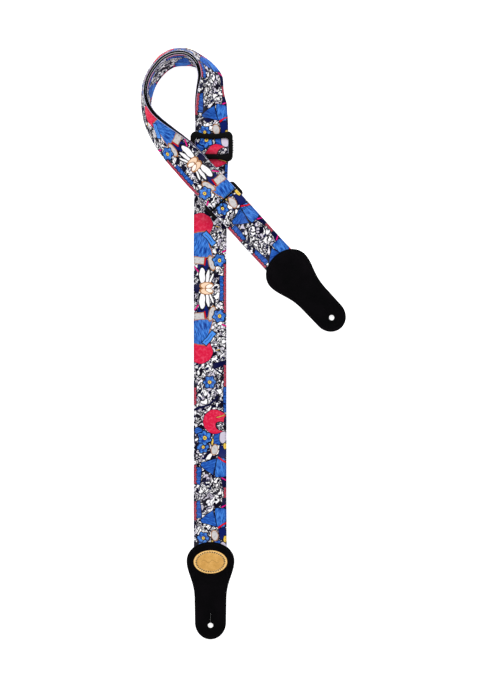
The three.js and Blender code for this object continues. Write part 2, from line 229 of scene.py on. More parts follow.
def long_strap_stations():
    x, y = SLIDER_PLACE[0], SLIDER_PLACE[1]
    head = TAB_A[1]
    back = -ACROSS
    ring_radius = RING_SIZE[2] / 2 + GAP
    ring_top = RING_Z + ring_radius
    ring_low = RING_Z - ring_radius
    ring_fold = on_line(RING_ALONG - RING_WINDOW[1] / 2 - RING_SLACK, RING_Z, back)[0]
    from_tab = [(-40.2, -STRAP_IN_TAB, 1.7), (-40.2, -12, 1.7), (-40.2, 2, 1.6), (-40.3, 14, 0.3),
                (-40.3, 26, 0), (-40.4, 36, 0)]
    straight = [(-40.4, -100), (-40.4, 20), (-40.4, 120), (-39.9, 170), (-39.1, 195)]
    over_slider = [(-17, 0), (-13, 0.1), (-10.4, 1.2), (-7.6, 3.9), (-5, 6.6), (-2, 7.8), (1.5, 7.8),
                   (5, 6.9), (8, 5.2), (11, 4.5), (14, 4.5), (20, 5.1)]
    main_run = [
        *[flat(across, head + v, z) for across, v, z in from_tab],
        *[flat(across, v, 0) for across, v in straight],
        *[flat(x, y + v, z) for v, z in over_slider],
        flat(x - 0.1, y + 28, 5.1),
        flat(x - 0.3, y + 34, 4.6),
    ]
    ring_end = [
        on_line(RING_ALONG - 13.5, ring_top, back),
        on_line(RING_ALONG - 10, ring_top, back),
        *fold(ring_fold, ALONG, -ring_radius, back),
        on_line(RING_ALONG - 10, ring_low, back),
        on_line(RING_ALONG - 13.5, ring_low, back),
    ]
    bar_fold = np.array([x, y - 1.4, CENTRE_BAR_Z])
    under_itself = [(2.4, 5.3), (4.6, 4.3), (7, 2.7), (9.5, 2.2), (16, 2.2), (27, 2.2)]
    tail = [
        flat(x - 0.3, y + 32, LAYER),
        *[flat(x, y + v, LAYER) for v in (24, 12, 3)],
        *fold(bar_fold, np.array([0.0, -1.0, 0.0]), CENTRE_BAR_Z - LAYER, RIGHT),
        *[flat(x, y + v, z) for v, z in under_itself],
    ]
    stations = main_run + loop_stations(1) + ring_end + loop_stations(-1)[::-1] + tail
    first_ring = len(main_run) + len(LOOP_EDGE)
    return stations, first_ring, first_ring + len(ring_end)


def short_strap_stations():
    ring_radius = RING_SIZE[2] / 2 + GAP
    top = RING_Z + ring_radius
    low = RING_Z - ring_radius
    centre = on_line(RING_ALONG + RING_WINDOW[1] / 2 + RING_SLACK, RING_Z, ACROSS)[0]
    heights = [(STRAP_IN_TAB, 1.7), (12, 1.7), (-2, 1.7), (-12, 2.0), (-22, 3.9), (-34, 7.4), (-45, 10.8),
               (-53, 13.1), (-61, 14.6), (-68, 15.8), (-73.5, top - 0.1), (-78, top)]
    under = [(-78, low), (-73, low - 0.1), (-68, low - 0.3), (-58, low - 0.5)]
    return [
        *[on_line(TAB_B_ALONG + s, z, ACROSS) for s, z in heights],
        *fold(centre, -ALONG, ring_radius, ACROSS)[::-1],
        *[on_line(TAB_B_ALONG + s, z, ACROSS) for s, z in under],
    ]


def curve_point(points, place):
    """A centripetal Catmull-Rom curve through the points, at a place counted in points."""
    last = len(points) - 1
    i = min(int(place), last - 1)
    share = place - i
    p1, p2 = points[i], points[i + 1]
    p0 = points[i - 1] if i > 0 else 2 * p1 - p2
    p3 = points[i + 2] if i + 2 <= last else 2 * p2 - p1
    gaps = ((p0, p1), (p1, p2), (p2, p3))
    dt0, dt1, dt2 = (max(np.linalg.norm(b - a) ** 0.5, 1e-4) for a, b in gaps)
    t1 = ((p1 - p0) / dt0 - (p2 - p0) / (dt0 + dt1) + (p2 - p1) / dt1) * dt1
    t2 = ((p2 - p1) / dt1 - (p3 - p1) / (dt1 + dt2) + (p3 - p2) / dt2) * dt1
    square, cube = share * share, share ** 3
    return (p1 * (2 * cube - 3 * square + 1) + t1 * (cube - 2 * square + share)
            + p2 * (3 * square - 2 * cube) + t2 * (cube - square))


class Run:
    """Dense rows along a strap: mid points of its back, width directions, faces and distances."""

    def __init__(self, points, widths, distance, stations):
        self.points = points
        self.widths = widths
        self.distance = distance
        self.stations = stations
        travel = np.gradient(points, axis=0)
        faces = np.cross(widths, travel)
        self.faces = faces / np.linalg.norm(faces, axis=1)[:, None]

    def part(self, first, last):
        rows = slice(first, last + 1)
        piece = Run(self.points[rows], self.widths[rows], self.distance[rows], self.stations[rows])
        piece.faces = self.faces[rows].copy()
        return piece

    def row_at_station(self, station):
        return int(np.argmin(np.abs(self.stations - station)))

    def length(self):
        return float(self.distance[-1] - self.distance[0])


def route(stations):
    left = [point - width * HALF for point, width in stations]
    right = [point + width * HALF for point, width in stations]
    places = []
    for i, (here, following) in enumerate(zip(stations, stations[1:])):
        pieces = max(2, round(np.linalg.norm(following[0] - here[0]) / ROW_SPACING))
        places += [i + j / pieces for j in range(pieces)]
    places.append(len(stations) - 1)
    lefts = np.array([curve_point(left, place) for place in places])
    rights = np.array([curve_point(right, place) for place in places])
    widths = rights - lefts
    widths /= np.linalg.norm(widths, axis=1)[:, None]
    points = (lefts + rights) / 2
    steps = np.linalg.norm(np.diff(points, axis=0), axis=1)
    distance = np.concatenate([[0], np.cumsum(steps)])
    return Run(points, widths, distance, np.array(places))


# ------------------------------------------------------------------ mesh building
def new_object(name, vertices, faces, smooth=40.0, clean=True):
    """An object from vertices in millimetres. Cleaning merges doubles and turns normals outwards."""
    mesh = bpy.data.meshes.new(name)
    mesh.from_pydata([tuple(v) for v in to_world(vertices)], [], faces)
    if clean:
        work = bmesh.new()
        work.from_mesh(mesh)
        bmesh.ops.remove_doubles(work, verts=work.verts, dist=2e-6)
        bmesh.ops.recalc_face_normals(work, faces=work.faces)
        work.to_mesh(mesh)
        work.free()
    obj = bpy.data.objects.new(name, mesh)
    bpy.context.scene.collection.objects.link(obj)
    shade(obj, smooth)
    return obj


def shade(obj, smooth):
    for polygon in obj.data.polygons:
        polygon.use_smooth = True
    obj.data.set_sharp_from_angle(angle=math.radians(smooth))


def shell_faces(rings, around, capped=True):
    """Faces of a shell made of rings of vertices: capped at both ends, or joined end to end."""
    faces = []
    for i in range(rings - 1 if capped else rings):
        n = (i + 1) % rings
        for j in range(around):
            k = (j + 1) % around
            faces.append((i * around + j, i * around + k, n * around + k, n * around + j))
    if capped:
        faces.append(tuple(range(around - 1, -1, -1)))
        faces.append(tuple((rings - 1) * around + j for j in range(around)))
    return faces


def round_power(angle, power):
    """Cosine and sine of an angle on a squared-off circle."""
    c, s = math.cos(angle), math.sin(angle)
    return math.copysign(abs(c) ** power, c), math.copysign(abs(s) ** power, s)


def finish_piece(obj, material, body=None, replaces=()):
    obj.data.materials.clear()
    obj.data.materials.append(material)
    if replaces:
        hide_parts(*replaces)
    if body:
        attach(obj, body)
    return obj


def ripple(distance, t):
    """How far the cloth wanders out of its own plane."""
    slow = 0.10 * np.sin(distance / 23) + 0.07 * np.sin(distance / 9.1 + 1.3)
    twist = 0.12 * np.sin(distance / 31 + 0.7) * t / HALF
    cupping = 0.10 * np.sin(distance / 57 + 2.1) * (t / HALF) ** 2
    return slow + twist + cupping + 0.34


def cloth_strip(name, run, low, high, half, rounding):
    """A closed strip with soft edges, and its own map: distance along, distance across."""
    inner = np.linspace(-(half - rounding), half - rounding, 13)
    turn = np.array([1.0, 0.8, 0.4])
    ends = half - rounding + rounding * turn
    columns = np.concatenate([-ends, inner, ends[::-1]])
    over = np.clip((np.abs(columns) - (half - rounding)) / rounding, 0, 1)
    rows = len(run.points)
    low = np.broadcast_to(low, rows)[:, None]
    middle = (low + high) / 2
    bulge = (high - low) / 2 * np.sqrt(np.clip(1 - over ** 2, 0, 1))[None, :]
    across = np.concatenate([columns, columns[::-1][1:-1]])
    height = np.concatenate([middle - bulge, (middle + bulge)[:, ::-1][:, 1:-1]], axis=1)
    around = len(across)
    total = height + ripple(run.distance[:, None], across[None, :])
    vertices = (run.points[:, None, :] + run.widths[:, None, :] * across[None, :, None]
                + run.faces[:, None, :] * total[:, :, None]).reshape(-1, 3)
    obj = new_object(name, vertices, shell_faces(rows, around), 50, clean=False)
    place = np.zeros((rows, around, 3))
    place[:, :, 0] = run.distance[:, None]
    place[:, :, 1] = across[None, :]
    place[:, :, 2] = height
    attribute = obj.data.attributes.new("strap_mm", "FLOAT_VECTOR", "POINT")
    attribute.data.foreach_set("vector", place.astype(np.float32).ravel())
    return obj


def frame_at(run, distance):
    """The run's point, width, face and travel at one distance."""
    values = []
    for source in (run.points, run.widths, run.faces):
        values.append(np.array([np.interp(distance, run.distance, source[:, k]) for k in range(3)]))
    point, width, face = values
    width /= np.linalg.norm(width)
    face /= np.linalg.norm(face)
    return point, width, face, np.cross(face, width)


def thread_shape(length, radius):
    """One stitch along X: a short length of thread whose ends dive into the cloth."""
    sides = 6
    stations = [(-0.5, 0.35, -0.9), (-0.42, 0.85, -0.3), (-0.2, 1.0, 0.1), (0.0, 1.05, 0.2),
                (0.2, 1.0, 0.1), (0.42, 0.85, -0.3), (0.5, 0.35, -0.9)]
    vertices = []
    for share, thick, lift in stations:
        for k in range(sides):
            angle = 2 * math.pi * k / sides
            vertices.append((share * length, radius * thick * math.cos(angle),
                             radius * (thick * math.sin(angle) + lift)))
    return vertices, shell_faces(len(stations), sides)


def stitches(name, places, length, radius):
    """One mesh of stitches. A place is a point, a direction and the way up."""
    template, template_faces = thread_shape(length, radius)
    vertices = []
    faces = []
    for point, direction, up in places:
        side = np.cross(up, direction)
        start = len(vertices)
        for x, y, z in template:
            vertices.append(point + direction * x + side * y + up * z)
        faces += [tuple(start + v for v in face) for face in template_faces]
    return new_object(name, vertices, faces, 80, clean=False)


def edge_stitches(name, run):
    places = []
    count = int(run.length() / EDGE_STITCH_PITCH)
    for i in range(count):
        distance = run.distance[0] + (i + 0.5) * run.length() / count
        point, width, face, travel = frame_at(run, distance)
        for t in (-HALF + EDGE_SEAM_INSET, HALF - EDGE_SEAM_INSET):
            lift = RIBBON_HIGH + ripple(distance, t) + 0.04
            places.append((point + width * t + face * lift, travel, face))
    return stitches(name, places, 2.3, 0.2)


def rounded_outline(width, height, radius, waist=0.0):
    """A rounded rectangle, its long sides drawn in at the middle by the waist."""
    w, h = width / 2, height / 2
    arcs = []
    for sx, sy, start in ((1, 1, 0), (-1, 1, 90), (-1, -1, 180), (1, -1, 270)):
        centre = np.array([sx * (w - radius), sy * (h - radius)])
        turns = np.radians(start + 90 * np.arange(9) / 8)
        arcs.append(centre + radius * np.column_stack([np.cos(turns), np.sin(turns)]))
    points = []
    for arc, following in zip(arcs, arcs[1:] + arcs[:1]):
        points += list(arc)
        points += [arc[-1] + (following[0] - arc[-1]) * k / 16 for k in range(1, 16)]
    outline = np.array(points)
    reach = w - 5.0
    share = np.clip(1 - (outline[:, 0] / reach) ** 2, 0, 1)
    dip = waist * share ** 2 * (3 - 2 * share)
    outline[:, 1] -= np.sign(outline[:, 1]) * dip * (np.abs(outline[:, 1]) > h - radius)
    return outline


def moulded_frame(outer, inner, thickness):
    """A plate with a window whose bars have a rounded section."""
    sides = 20
    loops = []
    for i in range(sides):
        c, s = round_power(2 * math.pi * (i + 0.5) / sides, 2 / FRAME_SQUARENESS)
        plan = outer + (inner - outer) * (0.5 - 0.5 * c)
        loops.append(np.column_stack([plan, np.full(len(plan), thickness / 2 * s)]))
    return np.concatenate(loops), shell_faces(sides, len(outer), capped=False)


def rod(half, height, width, thickness):
    """A straight bar of rounded section with softened ends, lying along X."""
    sides = 16
    stations = [(0.0, 0.5), (0.03, 0.85), (0.08, 1.0), (0.92, 1.0), (0.97, 0.85), (1.0, 0.5)]
    vertices = []
    for share, size in stations:
        centre = np.array([half * (2 * share - 1), 0, height])
        for k in range(sides):
            c, s = round_power(2 * math.pi * k / sides, 2 / ROD_SQUARENESS)
            vertices.append(centre + size / 2 * np.array([0, width * c, thickness * s]))
    return vertices, shell_faces(len(stations), sides)


def join_parts(parts):
    vertices = []
    faces = []
    for part_vertices, part_faces in parts:
        start = len(vertices)
        vertices += [tuple(v) for v in part_vertices]
        faces += [tuple(start + v for v in face) for face in part_faces]
    return np.array(vertices), faces


def tube(points, radius):
    """A round thread along the points."""
    sides = 8
    points = np.array(points, float)
    travel = np.gradient(points, axis=0)
    travel /= np.linalg.norm(travel, axis=1)[:, None]
    vertices = []
    for point, forward in zip(points, travel):
        side = np.cross(UP, forward)
        side /= np.linalg.norm(side)
        lift = np.cross(forward, side)
        for k in range(sides):
            angle = 2 * math.pi * k / sides
            vertices.append(point + radius * (side * math.cos(angle) + lift * math.sin(angle)))
    return vertices, shell_faces(len(points), sides)


# ------------------------------------------------------------------ node graphs
# The colour sockets of a mix node.
MIX_SHARE = 0
MIX_FIRST = 6
MIX_SECOND = 7
MIX_RESULT = 2


def srgb(red, green, blue):
    values = []
    for channel in (red, green, blue):
        share = channel / 255
        values.append(share / 12.92 if share <= 0.04045 else ((share + 0.055) / 1.055) ** 2.4)
    return (*values, 1.0)


def operator(operation, swapped=False):
    """A method of a value that adds a math node to its graph."""
    def apply(self, *others):
        values = (*others, self) if swapped else (self, *others)
        return self.graph.math(operation, *values)
    return apply


class Value:
    """A socket of a node graph, with arithmetic."""

    def __init__(self, graph, socket):
        self.graph = graph
        self.socket = socket

    __add__ = operator("ADD")
    __radd__ = operator("ADD", swapped=True)
    __sub__ = operator("SUBTRACT")
    __rsub__ = operator("SUBTRACT", swapped=True)
    __mul__ = operator("MULTIPLY")
    __rmul__ = operator("MULTIPLY", swapped=True)
    __truediv__ = operator("DIVIDE")
    __abs__ = operator("ABSOLUTE")
    lower = operator("MINIMUM")
    higher = operator("MAXIMUM")


class Graph:
    """One material's node tree, built in code."""

    def __init__(self, name):
        self.material = bpy.data.materials.new(name)
        self.material.use_nodes = True
        self.tree = self.material.node_tree
        self.shader = self.tree.nodes["Principled BSDF"]

    def node(self, kind, **settings):
        node = self.tree.nodes.new("ShaderNode" + kind)
        for key, value in settings.items():
            setattr(node, key, value)
        return node

    def put(self, value, socket):
        if isinstance(value, Value):
            self.tree.links.new(value.socket, socket)
        else:
            socket.default_value = value

    def result(self, kind, inputs, output=0, **settings):
        """One output of a new node. An input is a name or a number, and what goes into it."""
        node = self.node(kind, **settings)
        for key, value in inputs:
            self.put(value, node.inputs[key])
        return Value(self, node.outputs[output])

    def math(self, operation, *values):
        return self.result("Math", enumerate(values), operation=operation)

    def strap_place(self):
        """A strap's own map, and from it the distances along and across the strap."""
        place = self.result("Attribute", (), "Vector", attribute_name="strap_mm")
        along, across, _ = self.split(place)
        return place, along, across

    def object_mm(self):
        """The piece's own coordinates, in millimetres."""
        place = self.result("TexCoord", (), "Object")
        return self.result("VectorMath", ((0, place), ("Scale", 1000.0)), operation="SCALE")

    def vector(self, x, y):
        return self.result("CombineXYZ", enumerate((x, y)))

    def parts(self, kind, value):
        """The three parts of a vector or a colour."""
        node = self.node(kind)
        self.put(value, node.inputs[0])
        return [Value(self, output) for output in node.outputs]

    def split(self, vector):
        return self.parts("SeparateXYZ", vector)

    def channels(self, colour):
        return self.parts("SeparateColor", colour)

    def vector_math(self, operation, *vectors):
        output = "Value" if operation == "LENGTH" else "Vector"
        return self.result("VectorMath", enumerate(vectors), output, operation=operation)

    def local(self, vector, place, degrees=0.0, size=(1, 1)):
        """The vector seen from a place, turned and measured in units of a size."""
        inputs = (
            ("Vector", vector),
            ("Location", (place[0], place[1], 0)),
            ("Rotation", (0, 0, math.radians(degrees))),
            ("Scale", (size[0], size[1], 1)),
        )
        return self.result("Mapping", inputs, vector_type="TEXTURE")

    def noise(self, vector, size, detail=2.0, roughness=0.5, colour=False):
        inputs = (("Vector", vector), ("Scale", 1 / size), ("Detail", detail), ("Roughness", roughness))
        return self.result("TexNoise", inputs, "Color" if colour else "Fac")

    def voronoi(self, vector, size, feature="F1", output="Distance"):
        return self.result("TexVoronoi", (("Vector", vector), ("Scale", 1 / size)), output, feature=feature)

    def ramp(self, value, start, end):
        """A soft step from 0 to 1 as the value goes from start to end."""
        inputs = (("Value", value), ("From Min", start), ("From Max", end))
        return self.result("MapRange", inputs, interpolation_type="SMOOTHSTEP")

    def mix(self, share, first, second):
        """A colour between two colours."""
        inputs = ((MIX_SHARE, share), (MIX_FIRST, first), (MIX_SECOND, second))
        return self.result("Mix", inputs, MIX_RESULT, data_type="RGBA")

    def wobble(self, vector, size, reach):
        """The vector pushed about by soft noise."""
        red, green, _ = self.channels(self.noise(vector, size, detail=1.5, colour=True))
        push = self.vector((red - 0.5) * (2 * reach), (green - 0.5) * (2 * reach))
        return self.vector_math("ADD", vector, push)

    def finish(self, colour, roughness, specular, height, depth, strength=0.6):
        """Colour, roughness, gloss and a bump whose height of 1 is `depth` millimetres deep."""
        self.put(colour, self.shader.inputs["Base Color"])
        self.put(roughness, self.shader.inputs["Roughness"])
        self.put(specular, self.shader.inputs["Specular IOR Level"])
        bump = self.node("Bump")
        bump.inputs["Strength"].default_value = strength
        bump.inputs["Distance"].default_value = depth / 1000
        self.put(height, bump.inputs["Height"])
        self.tree.links.new(bump.outputs["Normal"], self.shader.inputs["Normal"])
        return self.material


# ------------------------------------------------------------------ the print
INK = srgb(9, 5, 24)
DEEP = srgb(8, 10, 58)
NAVY = srgb(10, 26, 96)
ROYAL = srgb(18, 62, 152)
SKY = srgb(76, 144, 232)
WHITE = srgb(254, 252, 255)
MIST = srgb(206, 198, 216)
PEBBLE = srgb(204, 200, 200)
CRIMSON = srgb(216, 26, 66)
RED = srgb(222, 14, 36)
MAGENTA = srgb(232, 14, 136)
GOLD = srgb(240, 200, 84)
PEACH = srgb(246, 214, 184)
TAN = srgb(168, 112, 66)
SELVEDGE = srgb(206, 202, 226)


class Print:
    """The ribbon's print, painted motif by motif over a ground of white scribbled leaves."""

    def __init__(self, graph, along, across):
        self.g = graph
        mirrored = graph.math("PINGPONG", along, PRINT_REPEAT)
        exact = graph.vector(mirrored, across)
        self.cloth = self.brushed(mirrored, across, 74, ROYAL, srgb(54, 116, 208))
        self.drape = self.brushed(mirrored, across, -18, srgb(22, 72, 164), SKY)
        red, green, _ = graph.channels(graph.noise(exact, 9.0, detail=1.5, colour=True))
        self.x = mirrored + (red - 0.5) * 2.6
        self.y = across + (green - 0.5) * 2.6
        self.leaf_place = graph.vector(along, self.y)
        self.along = mirrored
        self.across = across
        self.grit = graph.noise(exact, 2.6, detail=2.5, roughness=0.6) - 0.55
        blot = graph.noise(exact, 3.2, detail=3)
        self.crimson = graph.mix(graph.ramp(blot, 0.42, 0.75), CRIMSON, srgb(228, 70, 100))
        self.bloom = graph.mix(graph.ramp(blot, 0.40, 0.60), ROYAL, SKY)
        self.pebble = graph.mix(graph.ramp(self.grit, -0.02, 0.10) * 0.55, PEBBLE, srgb(136, 132, 140))
        self.colour = INK
        self.cover = 0.0

    def brushed(self, x, y, degrees, dark, light):
        """Cloth painted in streaks along one direction."""
        g = self.g
        c, s = math.cos(math.radians(degrees)), math.sin(math.radians(degrees))
        streak_place = g.vector((x * c + y * s) / 9.0, (y * c - x * s) / 1.1)
        streaks = g.noise(streak_place, 1.0, detail=3, roughness=0.65)
        colour = g.mix(g.ramp(streaks, 0.38, 0.66), dark, light)
        return g.mix(g.ramp(streaks, 0.43, 0.34), colour, NAVY)

    def seen_from(self, place, degrees=0.0, size=(1, 1)):
        """Both coordinates as seen from a place, turned and measured in units of a size."""
        g = self.g
        c, s = math.cos(math.radians(degrees)), math.sin(math.radians(degrees))
        (u, v), (a, b) = place, size
        x = g.math("MULTIPLY_ADD", self.y, s / a, -(u * c + v * s) / a)
        y = g.math("MULTIPLY_ADD", self.y, c / b, (u * s - v * c) / b)
        return g.math("MULTIPLY_ADD", self.x, c / a, x), g.math("MULTIPLY_ADD", self.x, -s / b, y)

    def reach(self, x, y):
        return self.g.math("SQRT", self.g.math("MULTIPLY_ADD", x, x, y * y))

    def oval(self, place, size, degrees=0.0):
        x, y = self.seen_from(place, degrees, size)
        return (self.reach(x, y) - 1.0) * min(size)

    def block(self, place, size, degrees=0.0, taper=0.0):
        """A four-sided patch. The taper narrows it towards its own +X end."""
        x, y = self.seen_from(place, degrees)
        width = size[1] - x * taper if taper else size[1]
        return (abs(x) - size[0]).higher(abs(y) - width)

    def paint(self, distance, fill, line=0.4, ink=INK, shaded=False):
        """Lays a shape down, filled inside and with a drawn outline."""
        g = self.g
        if shaded:
            fill = g.mix(g.ramp(distance + self.grit * 3.4, -1.0, 0.6), fill, DEEP)
        outside = g.ramp(distance, line + 0.1, line - 0.14)
        self.cover = outside.higher(self.cover)
        if line:
            self.colour = g.mix(outside, self.colour, ink)
        self.colour = g.mix(g.ramp(distance, 0.14 - line, -0.1 - line), self.colour, fill)

    def clear(self, distance):
        """Lets the ground show again inside a shape."""
        g = self.g
        line = 0.4
        self.colour = g.mix(g.ramp(distance, line + 0.1, line - 0.14), self.colour, INK)
        self.cover = self.cover * g.ramp(distance, -0.1 - line, 0.14 - line)

    def leaves(self):
        """The ground: crowded white leaves with ink outlines, scribbled veins and navy depths."""
        g = self.g
        place = self.leaf_place
        bent = g.wobble(place, 6.5, 5.0)
        leafy = g.local(bent, (0, 0), 38, (1.8, 0.95))
        edge = g.voronoi(leafy, 3.6, "DISTANCE_TO_EDGE")
        cell = g.voronoi(leafy, 3.6, output="Color")
        veins = g.local(g.wobble(bent, 2.4, 1.2), (0, 0), -20, (1.9, 0.85))
        fine = g.voronoi(veins, 2.1, "DISTANCE_TO_EDGE")
        thick = g.noise(bent, 2.6, detail=1) * 0.12
        red, green, blue = g.channels(cell)
        shade = g.mix(g.ramp(red, 0.62, 1.0), WHITE, MIST)
        shade = g.mix(g.ramp(fine, 0.10, 0.06) * g.ramp(green, 0.46, 0.52), shade, INK)
        shade = g.mix(g.ramp(blue, 0.91, 0.93), shade, INK)
        shade = g.mix(g.ramp(edge - thick, 0.045, 0.010), shade, INK)
        depths = g.noise(place, 15.0, detail=2.5, roughness=0.55)
        branch = g.ramp(abs(depths - 0.5), 0.014, 0.007)
        shade = g.mix(branch, shade, DEEP)
        return g.mix(g.ramp(depths, 0.330, 0.315), shade, DEEP)

    def blossom(self, place, radius, degrees=0.0):
        """A ragged blue blossom with a gold eye of stamens."""
        g = self.g
        x, y = self.seen_from(place, degrees)
        reach = self.reach(x, y)
        turn = g.math("ARCTAN2", y, x)
        distance = reach - g.math("SINE", turn * 6.0) * (radius * 0.13) - radius
        self.paint(distance, self.bloom, 0.7, shaded=True)
        rays = g.math("SINE", turn * 9.0 + self.grit * 9.0)
        veins = g.ramp(abs(rays), 0.34, 0.12) * g.ramp(reach, radius * 0.98, radius * 0.8)
        self.colour = g.mix(veins * 0.8, self.colour, NAVY)
        inside = g.ramp(reach, radius, radius * 0.9)
        glints = g.ramp(rays, 0.80, 0.95) * g.ramp(self.grit, 0.02, 0.12) * inside
        self.colour = g.mix(glints * 0.7, self.colour, srgb(150, 196, 250))
        self.paint(reach - radius * 0.30, GOLD, 0.3)
        self.paint(reach - radius * 0.09, INK, 0.0)

    def disc(self, place, radius):
        self.paint(self.oval(place, (radius, radius)), self.crimson, 0.3, DEEP)

    def slash(self, place, size, degrees, colour):
        self.paint(self.block(place, size, degrees), colour, 0.2)

    def petal(self, place, size, degrees, colour):
        """A long petal with two fine veins."""
        distance = self.oval(place, size, degrees)
        self.paint(distance, colour, 0.5)
        _, y = self.seen_from(place, degrees)
        vein = self.g.ramp(abs(abs(y) - size[1] * 0.35), 0.16, 0.06) * self.g.ramp(distance, -0.8, -1.4)
        self.colour = self.g.mix(vein * 0.55, self.colour, srgb(90, 80, 100))

    def scallops(self, side, start, end):
        """A band of crimson scales along one edge."""
        g = self.g
        step = g.math("PINGPONG", self.along, 2.6)
        reach = self.reach(step, (HALF + 0.8 - self.across * side) * 0.9)
        rings = abs(g.math("FRACT", reach / 1.9) - 0.5)
        scales = g.mix(g.ramp(rings, 0.24, 0.34) * 0.6, srgb(186, 24, 60), srgb(236, 190, 204))
        scales = g.mix(g.ramp(rings, 0.36, 0.42), scales, srgb(50, 8, 34))
        band = (reach - 4.2).higher(start - self.along).higher(self.along - end)
        self.paint(band, scales, 0.3)

    def build(self):
        cloth, drape, pebble = self.cloth, self.drape, self.pebble
        paint, block, oval = self.paint, self.block, self.oval
        slash, blossom, petal, scallops = self.slash, self.blossom, self.petal, self.scallops

        # From the first mirror line: shadowed leaves, blue drapery, pale buds and two blossoms.
        paint(block((19, -13.4), (10, 3.2), 6), cloth, shaded=True)
        paint(block((12, 16.5), (5.5, 3.2), -12), DEEP, 0.3)
        paint(block((29, 12.4), (11.2, 6.6), -4, 0.08), drape, 0.45, shaded=True)
        paint(block((31, -2.2), (8.2, 6.2), -80, 0.5), cloth, 0.45, shaded=True)
        slash((15.8, 16.2), (3.2, 0.9), -58, MAGENTA)
        paint(block((47, 14.8), (6.8, 4.6), 10), NAVY, shaded=True)
        paint(block((63, 8.6), (7.6, 4.8), 14), cloth, 0.45, shaded=True)
        paint(oval((49.5, 5.2), (6.0, 3.9), 14), pebble, 0.4, TAN)
        paint(oval((58.5, 2.6), (4.6, 1.3), 6), GOLD, 0.3)
        paint(oval((63.5, 15.5), (7.6, 4.6), 8), MIST)
        paint(oval((53.5, 17.6), (3.9, 2.4)), GOLD, 0.35)
        slash((37.5, 14), (6.2, 1.1), 120, RED)
        paint(oval((70.5, -13.2), (4.6, 5.6), 20), cloth, shaded=True)
        blossom((52.5, -8.2), 6.9, 10)
        blossom((63, -6.4), 7.8, 40)

        # The first crimson disc, with a leafy corner over it, and the pale thicket beyond.
        self.disc((81.5, 6.2), 14.2)
        self.clear(oval((76.5, 13.6), (5.2, 7.2), 12))
        paint(oval((82.5, 18.2), (4.8, 2.4), -8), DEEP, 0.3)
        slash((88, 12), (5.2, 0.5), 70, GOLD)
        paint(block((107, 17.8), (14.5, 2.5), 0), cloth, shaded=True)
        slash((98.6, -9), (10, 0.95), 72, DEEP)
        slash((106, 4), (7.5, 0.9), 48, DEEP)
        slash((104, 13.5), (5, 0.7), 118, DEEP)
        blossom((127, -0.4), 7.0, 15)
        paint(block((147.5, 11.5), (3.0, 8), -14), DEEP, 0.3)
        slash((140, 8), (6.5, 0.7), -52, DEEP)

        # The second disc, the great blue cloth with its cuff, and pebbles and buds.
        self.disc((162.4, -11.2), 14.2)
        paint(block((185.5, -10.6), (15.2, 10.2), 10, -0.12), drape, 0.5, TAN, True)
        paint(block((177.5, -0.8), (9.2, 3.3), 40), SKY, 0.5)
        paint(block((177.2, -1.4), (6.0, 0.3), 40), NAVY, 0)
        paint(block((208, -7.4), (6.4, 6.6), -16, 0.2), NAVY, shaded=True)
        paint(block((202.8, -13), (4.0, 6.2), -6), pebble, 0.42, TAN)
        slash((204.5, -5.6), (4.4, 0.8), -12, RED)
        slash((213, -16), (4.0, 0.9), 40, MAGENTA)
        paint(oval((206, 2.2), (8.8, 3.9), 14), pebble, 0.45, TAN)
        blossom((203, 10.8), 7.4, 5)
        slash((192, 16.4), (2.8, 0.9), -68, MAGENTA)
        slash((164, 8.5), (2.6, 0.55), 78, GOLD)
        paint(block((229, 13.6), (8, 2.4), 0), cloth, 0.35, shaded=True)

        # The great pale flower at the second mirror line.
        paint(oval((234, -15.6), (3.4, 4.4), 0), DEEP, 0.3)
        petal((221.5, -2.6), (9.6, 2.3), -8, WHITE)
        petal((223.5, 1.8), (8.6, 1.7), -24, WHITE)
        petal((220.4, -8.9), (10.4, 3.9), 3, WHITE)
        paint(oval((231.6, -4.4), (3.5, 6.9), 8), PEACH, 0.5, TAN)
        paint(oval((232.6, -1.2), (2.3, 4.6), 22), srgb(255, 244, 234), 0.35, TAN)

        scallops(-1, 10, 32)
        scallops(-1, 101, 121)
        scallops(1, 122, 147)
        scallops(1, 207, 240)
        scallops(1, -2, 6)
        return self.g.mix(self.cover, self.leaves(), self.colour)


def ribbon_material():
    g = Graph("printed_ribbon_cloth")
    place, along, across = g.strap_place()
    colour = Print(g, along - (PRINT_START - 4 * PRINT_REPEAT), across).build()
    rib = abs(g.math("SINE", along * (math.pi / 0.42)))
    warp = abs(g.math("SINE", across * (math.pi / 0.30)))
    weave = rib.lower(warp)
    from_edge = HALF - abs(across)
    bars = g.ramp(abs(g.math("SINE", along * (math.pi / 1.9))), 0.3, 0.7)
    selvedge = g.mix(bars * 0.4, SELVEDGE, srgb(120, 150, 220))
    colour = g.mix(g.ramp(from_edge, 0.40, 0.22) * 0.7, colour, selvedge)
    fade = g.noise(place, 26.0, detail=3)
    colour = g.mix(g.ramp(weave, 0.5, 0.0) * 0.10, colour, INK)
    colour = g.mix(g.ramp(fade, 0.45, 0.8) * 0.03, colour, WHITE)
    roughness = 0.7 + fade * 0.2 - weave * 0.06
    beside_seam = g.ramp(abs(from_edge - EDGE_SEAM_INSET), 1.6, 0.3)
    pucker = abs(g.math("SINE", along * (math.pi / EDGE_STITCH_PITCH))) * beside_seam
    height = weave * 0.35 + g.noise(place, 3.5, detail=2) * 0.3 + pucker * 0.6
    g.shader.inputs["Sheen Weight"].default_value = 0.02
    g.shader.inputs["Sheen Roughness"].default_value = 0.5
    return g.finish(colour, roughness, 0.04, height, 0.22)


